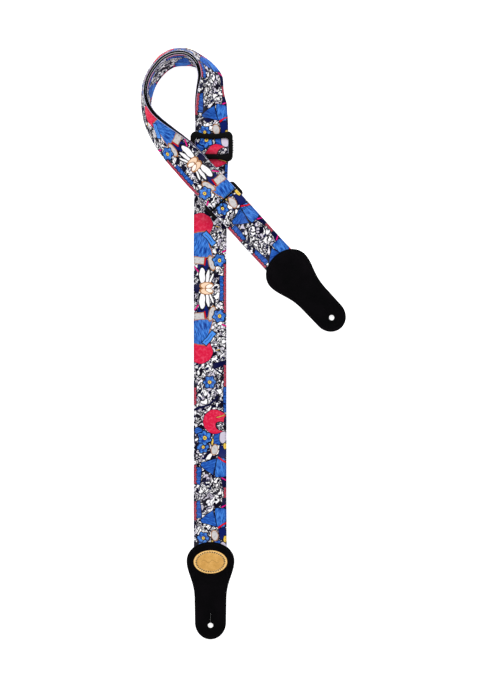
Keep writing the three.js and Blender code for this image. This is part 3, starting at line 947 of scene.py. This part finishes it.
def webbing_material():
    g = Graph("black_webbing_weave")
    place, along, across = g.strap_place()
    chevron = g.math("PINGPONG", across, 3.2)
    ribs = abs(g.math("SINE", (along + chevron * 0.8) * (math.pi / 1.1)))
    cords = abs(g.math("SINE", across * (math.pi / 0.8)))
    fuzz = g.noise(place, 0.5, detail=4, roughness=0.7)
    weave = ribs * 0.6 + cords * 0.4
    colour = g.mix(g.ramp(weave, 0.15, 0.95), srgb(1, 1, 2), srgb(10, 10, 12))
    colour = g.mix(g.ramp(fuzz, 0.62, 0.85) * 0.3, colour, srgb(28, 27, 31))
    roughness = 0.78 + fuzz * 0.2
    return g.finish(colour, roughness, 0.05, weave * 0.8 + fuzz * 0.3, 0.3, 0.8)


def tab_leather_material():
    g = Graph("black_tab_leather")
    dark = srgb(1, 1, 2)
    light = srgb(9, 6, 10)
    place = g.object_mm()
    bent = g.wobble(place, 3.0, 0.6)
    grain = g.voronoi(bent, 1.15, "DISTANCE_TO_EDGE")
    fine = g.voronoi(g.wobble(place, 1.5, 0.3), 0.55, "DISTANCE_TO_EDGE")
    clouds = g.noise(place, 21.0, detail=3, roughness=0.55)
    speck = g.noise(place, 0.8, detail=3)
    pebbles = g.ramp(grain, 0.0, 0.16) * 0.7 + g.ramp(fine, 0.0, 0.2) * 0.3
    colour = g.mix(g.ramp(clouds * 0.6 + speck * 0.4, 0.35, 0.68), dark, light)
    colour = g.mix(g.ramp(pebbles, 0.8, 0.2) * 0.45, colour, srgb(2, 2, 3))
    # Painted highlight: the leather is painted a touch lighter where it curves outward, on its rounded edges
    # and swells, broken up by speckle.
    geometry = g.node("NewGeometry")
    painted_ridge_highlight = g.ramp(Value(g, geometry.outputs["Pointiness"]), 0.53, 0.60) * g.ramp(speck, 0.3, 0.6)
    colour = g.mix(painted_ridge_highlight * 0.35, colour, light)
    roughness = 0.52 + g.ramp(pebbles, 0.9, 0.1) * 0.25 + clouds * 0.1
    return g.finish(colour, roughness, 0.04, pebbles + clouds * 0.5, 0.16, 0.75)


def badge_material():
    g = Graph("tan_badge_leather")
    place = g.object_mm()
    centre = to_world([(TAB_A[0], TAB_A[1] - BADGE_FROM_HEAD, 0)])[0] * 1000
    local = g.local(place, centre[:2], 0, (BADGE_WIDTH / 2, BADGE_HEIGHT / 2))
    reach = g.vector_math("LENGTH", g.vector_math("MULTIPLY", local, (1, 1, 0)))
    grain = g.noise(g.wobble(place, 2.0, 0.4), 0.9, detail=5, roughness=0.62)
    clouds = g.noise(place, 6.0, detail=3)
    colour = g.mix(g.ramp(clouds * 0.5 + grain * 0.5, 0.36, 0.66), srgb(196, 144, 66), srgb(222, 172, 92))
    colour = g.mix(g.ramp(grain, 0.60, 0.72) * 0.5, colour, srgb(158, 108, 44))
    colour = g.mix(g.ramp(reach, 0.80, 0.90), colour, srgb(244, 196, 118))
    colour = g.mix(g.ramp(reach, 0.965, 1.0) * 0.7, colour, srgb(190, 136, 62))
    groove = g.ramp(abs(reach - 0.85), 0.035, 0.01)
    colour = g.mix(groove * 0.4, colour, srgb(140, 98, 40))
    x, y, _ = g.split(g.local(place, centre[:2]))
    turn = g.math("ARCTAN2", y / BADGE_HEIGHT, x / BADGE_WIDTH)
    spots = g.ramp(g.math("SINE", turn * BADGE_STITCHES), -0.15, 0.15)
    punched = spots * g.ramp(abs(reach - 0.845), 0.065, 0.045)
    colour = g.mix(punched, colour, srgb(38, 24, 14))
    swell = g.math("SINE", x * 0.62) * 1.5
    vine = g.ramp(abs(y - swell - 0.6), 0.75, 0.35) * g.ramp(abs(x), 10.5, 9.5)
    colour = g.mix(vine * 0.42, colour, srgb(150, 102, 40))
    height = grain * 0.5 + clouds * 0.2 - vine * 0.5 - groove * 0.6
    roughness = 0.5 + grain * 0.25
    return g.finish(colour, roughness, 0.35, height, 0.3, 0.7)


def plastic_material():
    g = Graph("black_moulded_plastic")
    place = g.object_mm()
    stipple = g.noise(place, 0.55, detail=3, roughness=0.6)
    flow = g.noise(place, 14.0, detail=2)
    scuffs = g.noise(g.local(place, (0, 0), 22, (6, 0.35)), 1.0, detail=4, roughness=0.7)
    colour = g.mix(g.ramp(stipple, 0.4, 0.7), srgb(1, 1, 1), srgb(6, 6, 7))
    colour = g.mix(g.ramp(scuffs, 0.66, 0.8) * 0.3, colour, srgb(34, 34, 37))
    roughness = 0.44 + stipple * 0.2 + flow * 0.12
    return g.finish(colour, roughness, 0.09, stipple + scuffs * 0.2, 0.14, 0.7)


def thread_material(name, dark, light):
    g = Graph(name)
    place = g.object_mm()
    x, y, z = g.split(place)
    twist = abs(g.math("SINE", (x + y + z * 1.7) * (math.pi / 0.33)))
    fuzz = g.noise(place, 0.3, detail=3)
    colour = g.mix(twist * 0.7 + fuzz * 0.3, dark, light)
    return g.finish(colour, 0.6 + fuzz * 0.25, 0.1, twist, 0.12, 0.8)


RIBBON = ribbon_material()
BLACK_WEBBING = webbing_material()
BLACK_LEATHER = tab_leather_material()
TAN_LEATHER = badge_material()
PLASTIC = plastic_material()
BLACK_THREAD = thread_material("black_thread_twist", srgb(3, 3, 4), srgb(17, 16, 20))
CREAM_THREAD = thread_material("cream_thread_twist", srgb(206, 178, 124), srgb(250, 232, 190))


# ------------------------------------------------------------------ straps
def strap_run(name, run, body=None, bend=None, stitched=True, plush=0.0):
    """One run of strap: black webbing, printed ribbon and the stitches along both edges."""
    webbing = cloth_strip(name + "_webbing", run, -plush, WEBBING, HALF, 0.5)
    ribbon = cloth_strip(name + "_ribbon", run, RIBBON_LOW, RIBBON_HIGH, HALF - 0.05, 0.25)
    pieces = [
        finish_piece(webbing, BLACK_WEBBING, body),
        finish_piece(ribbon, RIBBON, body),
    ]
    if stitched:
        threads = edge_stitches(name + "_edge_stitches", run)
        pieces.append(finish_piece(threads, BLACK_THREAD, body))
    if bend:
        for piece in pieces:
            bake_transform(piece)
    size = (STRAP_WIDTH / 1000, run.length() / 1000)
    return pieces


def line_point(distance, z):
    return tuple(to_world([on_line(distance, z, ACROSS)[0]])[0])


stations, first_ring, last_ring = long_strap_stations()
long_run = route(stations)
slider_v = long_run.points[:, 1] - SLIDER_PLACE[1]
main_rows = long_run.stations < LOOP_START_STATION

# The main run passes flat under the slider and rises behind its centre bar.
lowered = long_run.points.copy()
ramp = np.where(main_rows, smoothstep(0, 12, slider_v), 1.0)
near = np.abs(slider_v) < 40
lowered[:, 2] = np.where(main_rows & near, lowered[:, 2] * ramp, lowered[:, 2])
laid_run = Run(lowered, long_run.widths, long_run.distance, long_run.stations)

ring_start = long_run.row_at_station(first_ring - 1)
ring_end = long_run.row_at_station(last_ring)
tail_first = long_run.row_at_station(last_ring + len(LOOP_EDGE))
tail_v = slider_v[tail_first:]
loop_end = tail_first + int(np.argmax(tail_v < 3))
wrap_start = long_run.row_at_station(last_ring + len(LOOP_EDGE) + 5.5)

# Round the loop the two layers lie back to back, and their webbing is fuller there.
loop_size = len(LOOP_EDGE)
outward = long_run.stations - (first_ring - loop_size)
homeward = last_ring + loop_size - 1 - long_run.stations
loop_place = np.where(long_run.stations < first_ring, outward, homeward)
loop_plush = LOOP_PLUSH * smoothstep(1, 4, loop_place)
loop_plush *= 1 - smoothstep(loop_size - 5, loop_size - 2, loop_place)

main_pieces = strap_run("main_run_and_loop", laid_run.part(0, ring_start), "long_strap",
                        plush=loop_plush[:ring_start + 1])
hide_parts("long_strap_webbing")
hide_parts("long_strap_printed_face")
strap_run("loop_return", long_run.part(ring_end, loop_end), "long_strap",
          plush=loop_plush[ring_end:loop_end + 1])
strap_run("ring_turn", long_run.part(ring_start, ring_end),
          bend=("long_strap", "ring", line_point(-158, RING_Z), line_point(-150, RING_Z)))

# The strap over the slider's centre bar, which moves with the slider. Its ends dip out of sight
# under the slider's outer bars.
over_rows = np.where(main_rows & (slider_v > OVERLAY_START) & (slider_v < OVERLAY_END))[0]
over = long_run.part(over_rows[0], over_rows[-1])
over_v = over.points[:, 1] - SLIDER_PLACE[1]
over.points = over.points.copy()
over.points[:, 2] -= OVERLAY_DIP * (1 - smoothstep(OVERLAY_START, OVERLAY_START + 2, over_v))
over.points[:, 2] -= OVERLAY_DIP * smoothstep(OVERLAY_END - 3, OVERLAY_END, over_v)
strap_run("strap_over_centre_bar", over, "slider",
          stitched=False)
strap_run("tail_round_centre_bar", long_run.part(wrap_start, len(long_run.points) - 1), "slider")

short_run = route(short_strap_stations())
short_run.distance = short_run.distance + SHORT_STRAP_PRINT_START + 2 * PRINT_REPEAT
short_pieces = strap_run("short_run", short_run,
                         bend=("ring", "short_strap", line_point(-125, 15.2), line_point(-119, 15.2)))
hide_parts("short_strap_webbing")
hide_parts("short_strap_printed_face")


# ------------------------------------------------------------------ tabs
def tab_side(inset):
    """Half of a tab's outline from its tip to its head: distance from the head, half width."""
    head = TAB_HEAD - inset
    neck = TAB_NECK - inset
    centre = TAB_LENGTH - TAB_TIP_REACH
    points = []
    for k in range(18):
        angle = math.radians(90 * k / 18)
        points.append((centre + (TAB_TIP_REACH - inset) * math.cos(angle), neck * math.sin(angle)))
    for k in range(12):
        share = k / 12
        points.append((centre + (66 - centre) * share, neck + 0.4 * share))
    ends = [(66, neck + 0.4), (45, neck + 0.6), (36, head), (TAB_HEAD_REACH, head)]
    for k in range(20):
        a = k / 20
        weights = ((1 - a) ** 3, 3 * a * (1 - a) ** 2, 3 * a * a * (1 - a), a ** 3)
        points.append(tuple(sum(w * p[axis] for w, p in zip(weights, ends)) for axis in (0, 1)))
    for k in range(25):
        angle = math.radians(90 + 90 * k / 24)
        reach = TAB_HEAD_REACH - inset
        points.append((TAB_HEAD_REACH + reach * math.cos(angle), head * math.sin(angle)))
    return np.array(points)


TAB_INSETS = (0, 0.07, 0.22, 0.55, 1.2, 1.9, 2.3, 2.7, 3.1, 3.6, 4.6, 6.5, 9, 12)


def front_base(s, t):
    """Height of the front leather's underside: over the strap's end, then down on the back."""
    raised = (1 - smoothstep(38, 48, s)) * (1 - smoothstep(17.5, 22.5, np.abs(t)))
    return LEATHER + 0.1 + 2.25 * raised


def front_top(s, t, inset):
    swell = 0.32 * smoothstep(3.0, 8.0, inset) + 0.12 * smoothstep(0.4, 1.6, inset)
    groove = 0.42 * np.exp(-((inset - SEAM_INSET) / 0.42) ** 2)
    wander = 0.10 * np.sin(s / 7.3 + t / 9.1) * smoothstep(3, 9, inset) + 0.06 * np.sin(s / 3.7 - t / 5.3)
    return front_base(s, t) + LEATHER + swell - groove + wander


def leather_solid(top, bottom, rounding):
    """A closed leather shape from functions for its upper and lower surface."""
    sides = [tab_side(inset) for inset in TAB_INSETS]
    insets = list(TAB_INSETS)
    core = 7
    rows = []
    for k in range(len(sides[0])):
        row = [(side[k][0], side[k][1], inset) for side, inset in zip(sides, insets)]
        s, t, inset = row[-1]
        for m in range(1, core + 1):
            share = 1 - 2 * m / (core + 1)
            row.append((s, t * share, inset + t * (1 - abs(share))))
        row += [(a, -b, c) for a, b, c in row[len(insets) - 1::-1]]
        rows.append(row)
    grid = np.array(rows)
    s, t, inset = grid[:, :, 0], grid[:, :, 1], grid[:, :, 2]
    over = np.clip(1 - inset / rounding, 0, 1)
    drop = rounding * (1 - np.sqrt(np.clip(1 - over ** 2, 0, 1)))
    upper = np.stack([s, t, top(s, t, inset) - drop], axis=2)
    lower = np.stack([s, t, bottom(s, t, inset) + drop], axis=2)
    count, wide = s.shape
    vertices = np.concatenate([upper.reshape(-1, 3), lower.reshape(-1, 3)])
    offset = count * wide
    faces = []
    for i in range(count - 1):
        for j in range(wide - 1):
            a, b = i * wide + j, i * wide + j + 1
            c, d = a + wide, b + wide
            faces.append((a, b, d, c))
            faces.append((a + offset, c + offset, d + offset, b + offset))
        for j, turn in ((0, 1), (wide - 1, -1)):
            a, c = i * wide + j, (i + 1) * wide + j
            faces.append((a, c, c + offset, a + offset)[::turn])
    return vertices, tidy_faces(vertices, faces)


class TabPlace:
    """Places a tab's own coordinates: distance from its head, sideways, height."""

    def __init__(self, origin, direction):
        self.origin = np.array([origin[0], origin[1], 0.0])
        self.direction = direction
        self.side = np.cross(UP, direction)

    def place(self, points):
        points = np.asarray(points, float)
        return (self.origin + points[:, :1] * self.direction + points[:, 1:2] * self.side
                + points[:, 2:3] * UP)

    def turn(self, vector):
        return vector[0] * self.direction + vector[1] * self.side + vector[2] * UP


def tidy_faces(vertices, faces):
    """Drops the corners that coincide where rows shrink to a point."""
    rounded = [tuple(np.round(v, 5)) for v in vertices]
    kept = []
    for face in faces:
        corners = []
        for v in face:
            if not corners or rounded[v] != rounded[corners[-1]]:
                corners.append(v)
        if len(corners) > 2 and rounded[corners[0]] == rounded[corners[-1]]:
            corners.pop()
        if len({rounded[v] for v in corners}) > 2:
            kept.append(tuple(corners))
    return kept


def cut_button_hole(obj, tab):
    centre = TAB_LENGTH - HOLE_FROM_TIP
    outline = []
    meet = math.asin(SLIT_WIDTH / 2 / HOLE_RADIUS)
    for k in range(41):
        angle = math.pi + meet + (2 * math.pi - 2 * meet) * k / 40
        outline.append((centre + HOLE_RADIUS * math.cos(angle), HOLE_RADIUS * math.sin(angle)))
    slit_end = centre - SLIT_LENGTH - HOLE_RADIUS
    outline += [(slit_end, SLIT_WIDTH / 2), (slit_end - 0.3, 0), (slit_end, -SLIT_WIDTH / 2)]
    count = len(outline)
    points = [(s, t, z) for z in (-4.0, 12.0) for s, t in outline]
    faces = [tuple(range(count)), tuple(range(2 * count - 1, count - 1, -1))]
    faces += [(k, (k + 1) % count, (k + 1) % count + count, k + count) for k in range(count)]
    cutter = new_object("button_hole_cutter", tab.place(points), faces)
    modifier = obj.modifiers.new("hole", "BOOLEAN")
    modifier.operation = "DIFFERENCE"
    modifier.solver = "EXACT"
    modifier.object = cutter
    bpy.context.view_layer.objects.active = obj
    bpy.ops.object.modifier_apply(modifier=modifier.name)
    bpy.data.objects.remove(cutter)
    shade(obj, 38)


def even_places(points, count):
    """Points spaced evenly round a closed line, with their directions."""
    line = np.vstack([points, points[:1]])
    steps = np.linalg.norm(np.diff(line, axis=0), axis=1)
    total = np.concatenate([[0], np.cumsum(steps)])

    def point_at(distance):
        return np.array([np.interp(distance, total, column) for column in line.T])

    found = []
    for k in range(count):
        at = total[-1] * (k + 0.5) / count
        direction = point_at(min(at + 0.4, total[-1])) - point_at(max(at - 0.4, 0))
        found.append((point_at(at), direction / np.linalg.norm(direction)))
    return found


def build_tab(name, tab, body):
    """Two layers of leather, cut for the strap button, and the seam round their edge."""
    for layer, top, bottom, rounding in (
        ("_front", front_top, lambda s, t, inset: front_base(s, t), 0.6),
        ("_back", lambda s, t, inset: LEATHER + 0 * s, lambda s, t, inset: 0 * s, 0.55),
    ):
        vertices, faces = leather_solid(top, bottom, rounding)
        leather = new_object(name + layer, tab.place(vertices), faces)
        cut_button_hole(leather, tab)
        finish_piece(leather, BLACK_LEATHER, body, [name + layer + "_leather"])
    side = tab_side(SEAM_INSET)
    outline = np.vstack([side, side[-2:0:-1] * (1, -1)])
    places = []
    for (s, t), (ds, dt) in even_places(outline, TAB_STITCHES):
        height = front_top(s, t, SEAM_INSET) + 0.14
        ahead = front_top(s + ds, t + dt, SEAM_INSET) - front_top(s - ds, t - dt, SEAM_INSET)
        direction = tab.turn(np.array([ds, dt, ahead / 2]))
        direction /= np.linalg.norm(direction)
        level = np.cross(UP, direction)
        level /= np.linalg.norm(level)
        places.append((tab.place([(s, t, height)])[0], direction, np.cross(direction, level)))
    seam = stitches(name + "_stitches", places, 2.7, 0.27)
    finish_piece(seam, BLACK_THREAD, body, [name + "_seam"])


tab_a = TabPlace(TAB_A, np.array([0.0, -1.0, 0.0]))
tab_b_origin = ALONG * TAB_B_ALONG + ACROSS * TAB_B_ACROSS
tab_b = TabPlace(tab_b_origin[:2], ALONG)
build_tab("tab_a", tab_a, "long_strap")
build_tab("tab_b", tab_b, "short_strap")


# ------------------------------------------------------------------ oval badge
def badge_oval(inset, count):
    """Points round the badge, some way inside its edge."""
    points = []
    for k in range(count):
        angle = 2 * math.pi * k / count
        points.append((BADGE_FROM_HEAD + (BADGE_HEIGHT / 2 - inset) * math.sin(angle),
                       (BADGE_WIDTH / 2 - inset) * math.cos(angle)))
    return points


def badge_shell():
    """Rings from the badge's underside, round its soft edge and over its face."""
    count = 96
    rings = [(1.2, BADGE_LOW), (0.1, BADGE_LOW), (0.0, BADGE_LOW + 0.3), (0.0, BADGE_HIGH - 0.4),
             (0.12, BADGE_HIGH - 0.16), (0.4, BADGE_HIGH - 0.02), (0.9, BADGE_HIGH + 0.04),
             (1.9, BADGE_HIGH), (2.3, BADGE_HIGH - 0.14), (2.7, BADGE_HIGH - 0.14),
             (3.1, BADGE_HIGH), (4.5, BADGE_HIGH + 0.1), (8.0, BADGE_HIGH + 0.16), (11.5, BADGE_HIGH + 0.18)]
    vertices = []
    for inset, height in rings:
        vertices += [(s, t, height) for s, t in badge_oval(inset, count)]
    return vertices, shell_faces(len(rings), count)


badge_vertices, badge_faces = badge_shell()
badge = new_object("oval_badge_face", tab_a.place(badge_vertices), badge_faces, 60)
finish_piece(badge, TAN_LEATHER, "long_strap", ["oval_badge"])
badge_places = []
for (s, t), (ds, dt) in even_places(np.array(badge_oval(BADGE_SEAM_INSET, 144)), BADGE_STITCHES):
    point = tab_a.place([(s, t, BADGE_HIGH + 0.02)])[0]
    badge_places.append((point, tab_a.turn(np.array([ds, dt, 0])), UP))
badge_seam = stitches("oval_badge_stitches", badge_places, 1.15, 0.26)
finish_piece(badge_seam, CREAM_THREAD, "long_strap", ["oval_badge_seam"])


# ------------------------------------------------------------------ adjuster slider and ring
def cheek(x, wide):
    """The deep side of the slider, which carries its centre bar."""
    deep = CENTRE_BAR_Z - SLIDER_PLACE[2] - CENTRE_BAR_THICKNESS / 2
    outline = [(-12, -1), (-3.4, deep), (3.4, deep), (12, -1), (10, 1.3), (-10, 1.3)]
    work = bmesh.new()
    rings = []
    for side in (-0.5, 0.5):
        rings.append([work.verts.new((x + side * wide, y, z)) for y, z in outline])
    count = len(outline)
    work.faces.new(rings[0])
    work.faces.new(rings[1][::-1])
    for k in range(count):
        m = (k + 1) % count
        work.faces.new((rings[0][m], rings[0][k], rings[1][k], rings[1][m]))
    bmesh.ops.bevel(work, geom=work.edges[:], offset=0.7, segments=3, profile=0.5, affect="EDGES")
    work.verts.index_update()
    vertices = np.array([tuple(v.co) for v in work.verts])
    faces = [tuple(v.index for v in face.verts) for face in work.faces]
    work.free()
    return vertices, faces


def grip_tooth(x, y):
    """A small upright ridge on the slider's side, for the thumb."""
    vertices = []
    heights = [(-1.35, 0.35), (-1.15, 0.75), (-0.7, 0.95), (0.7, 0.95), (1.15, 0.75), (1.35, 0.35)]
    sides = 10
    for z, size in heights:
        for k in range(sides):
            angle = 2 * math.pi * k / sides
            vertices.append((x + 1.05 * size * math.cos(angle), y + 0.64 * size * math.sin(angle), z))
    return vertices, shell_faces(len(heights), sides)


def build_slider():
    outer = rounded_outline(SLIDER_SIZE[0], SLIDER_SIZE[1], 6.4, SLIDER_WAIST)
    inner = rounded_outline(SLIDER_WINDOW[0], SLIDER_WINDOW[1], 3.2, 1.1)
    parts = [moulded_frame(outer, inner, SLIDER_SIZE[2])]
    wide = (SLIDER_SIZE[0] - SLIDER_WINDOW[0]) / 2 - 0.6
    for side in (-1, 1):
        parts.append(cheek(side * (SLIDER_WINDOW[0] + wide) / 2, wide))
        for k in range(8):
            parts.append(grip_tooth(side * (SLIDER_SIZE[0] / 2 + 0.05), (k - 3.5) * 1.9))
    bar_height = CENTRE_BAR_Z - SLIDER_PLACE[2]
    reach = SLIDER_WINDOW[0] / 2 + 2
    parts.append(rod(reach, bar_height, CENTRE_BAR_WIDTH, CENTRE_BAR_THICKNESS))
    vertices, faces = join_parts(parts)
    cosine, sine = math.cos(SLIDER_TILT), math.sin(SLIDER_TILT)
    turned = np.column_stack([vertices[:, 0], vertices[:, 1] * cosine - vertices[:, 2] * sine,
                              vertices[:, 1] * sine + vertices[:, 2] * cosine])
    placed = turned + np.array(SLIDER_PLACE)
    slider = new_object("slider_moulding", placed, faces, 50)
    finish_piece(slider, PLASTIC, "slider", ["adjuster_slider"])


def build_ring():
    outer = rounded_outline(RING_SIZE[0], RING_SIZE[1], 5.0)
    inner = rounded_outline(RING_WINDOW[0], RING_WINDOW[1], 1.0)
    reach = RING_WINDOW[0] / 2 + 2
    # The black middle bar across the window, between the two folds, stands in for the shade in the gap
    # between them.
    middle = rod(reach, 0.3, RING_SHADE_BAR, RING_SIZE[2] - 0.4)
    vertices, faces = join_parts([moulded_frame(outer, inner, RING_SIZE[2]), middle])
    centre = ALONG * RING_ALONG + ACROSS * RING_ACROSS + UP * RING_Z
    placed = centre + vertices[:, :1] * ACROSS - vertices[:, 1:2] * ALONG + vertices[:, 2:3] * UP
    ring = new_object("ring_moulding", placed, faces, 50)
    finish_piece(ring, PLASTIC, "ring", ["rectangular_ring"])


build_slider()
build_ring()


# ------------------------------------------------------------------ bar tacks
def bar_tack(name, centre, forward, up, body, node):
    """A dense zigzag of thread across the strap that holds a folded end down."""
    teeth = 26
    reach = HALF - 4
    side = np.cross(forward, up)
    points = []
    for k in range(teeth * 4 + 1):
        share = k / (teeth * 4)
        swing = math.asin(math.sin(math.pi * teeth * share)) / (math.pi / 2)
        points.append(centre + side * reach * (2 * share - 1) + forward * 1.7 * swing)
    vertices, faces = tube(points, 0.3)
    obj = new_object(name, vertices, faces, 70)
    finish_piece(obj, BLACK_THREAD, body, [node])


bar_tack("slider_end_tack", np.array([SLIDER_PLACE[0], SLIDER_PLACE[1] + 23, 4.35]),
         np.array([0.0, 1.0, 0.0]), UP, "slider", "slider_end_bar_tack")
tack_tilt = math.radians(9)
tack_forward = -ALONG * math.cos(tack_tilt) + UP * math.sin(tack_tilt)
tack_up = UP * math.cos(tack_tilt) + ALONG * math.sin(tack_tilt)
bar_tack("ring_end_tack", on_line(TAB_B_ALONG - 63.5, 17.15, ACROSS)[0], tack_forward, tack_up,
         "short_strap", "ring_end_bar_tack")


# ------------------------------------------------------------------ floor, light and camera
# Millimetres: how far the floor lies below the table plane, the camera's height, and the length
# on the table that the longer side of the picture takes in.
FLOOR_DROP = 0.6
CAMERA_HEIGHT = 2000.0
VIEW_LENGTH = 806.0


def studio():
    bpy.ops.mesh.primitive_plane_add(size=12, location=(0, 0, -FLOOR_DROP / 1000))
    floor = bpy.context.object
    floor.name = "studio_floor"
    material = bpy.data.materials.new("studio_white")
    material.use_nodes = True
    shader = material.node_tree.nodes["Principled BSDF"]
    shader.inputs["Base Color"].default_value = (0.92, 0.92, 0.92, 1)
    shader.inputs["Roughness"].default_value = 1.0
    shader.inputs["Specular IOR Level"].default_value = 0.0
    shader.inputs["Emission Color"].default_value = (1, 1, 1, 1)
    shader.inputs["Emission Strength"].default_value = 0.72
    floor.data.materials.append(material)
    world = bpy.data.worlds.new("studio")
    world.use_nodes = True
    world.node_tree.nodes["Background"].inputs["Color"].default_value = (1, 1, 1, 1)
    world.node_tree.nodes["Background"].inputs["Strength"].default_value = 0.47
    bpy.context.scene.world = world
    for name, place, size, power in (
        ("key", (-1.1, 0.9, 1.5), 1.2, 19.5),
        ("fill", (1.3, 0.5, 1.3), 1.4, 10.5),
        ("front", (0.3, -1.6, 1.3), 1.4, 9.5),
        ("back", (0.1, 1.7, 1.1), 1.2, 6.0),
    ):
        light = bpy.data.lights.new(name, "AREA")
        light.size = size
        light.energy = power
        obj = bpy.data.objects.new(name, light)
        obj.location = place
        obj.rotation_euler = (Vector((-0.01, 0, 0)) - Vector(place)).to_track_quat("-Z", "Y").to_euler()
        bpy.context.scene.collection.objects.link(obj)
    camera = bpy.data.cameras.new("camera")
    camera.sensor_width = 36
    camera.lens = camera.sensor_width * CAMERA_HEIGHT / VIEW_LENGTH
    camera.clip_end = 20
    obj = bpy.data.objects.new("camera", camera)
    obj.location = (-0.0057, -0.0073, CAMERA_HEIGHT / 1000)
    bpy.context.scene.collection.objects.link(obj)
    bpy.context.scene.camera = obj
    bpy.context.scene.view_settings.view_transform = "Standard"


studio()
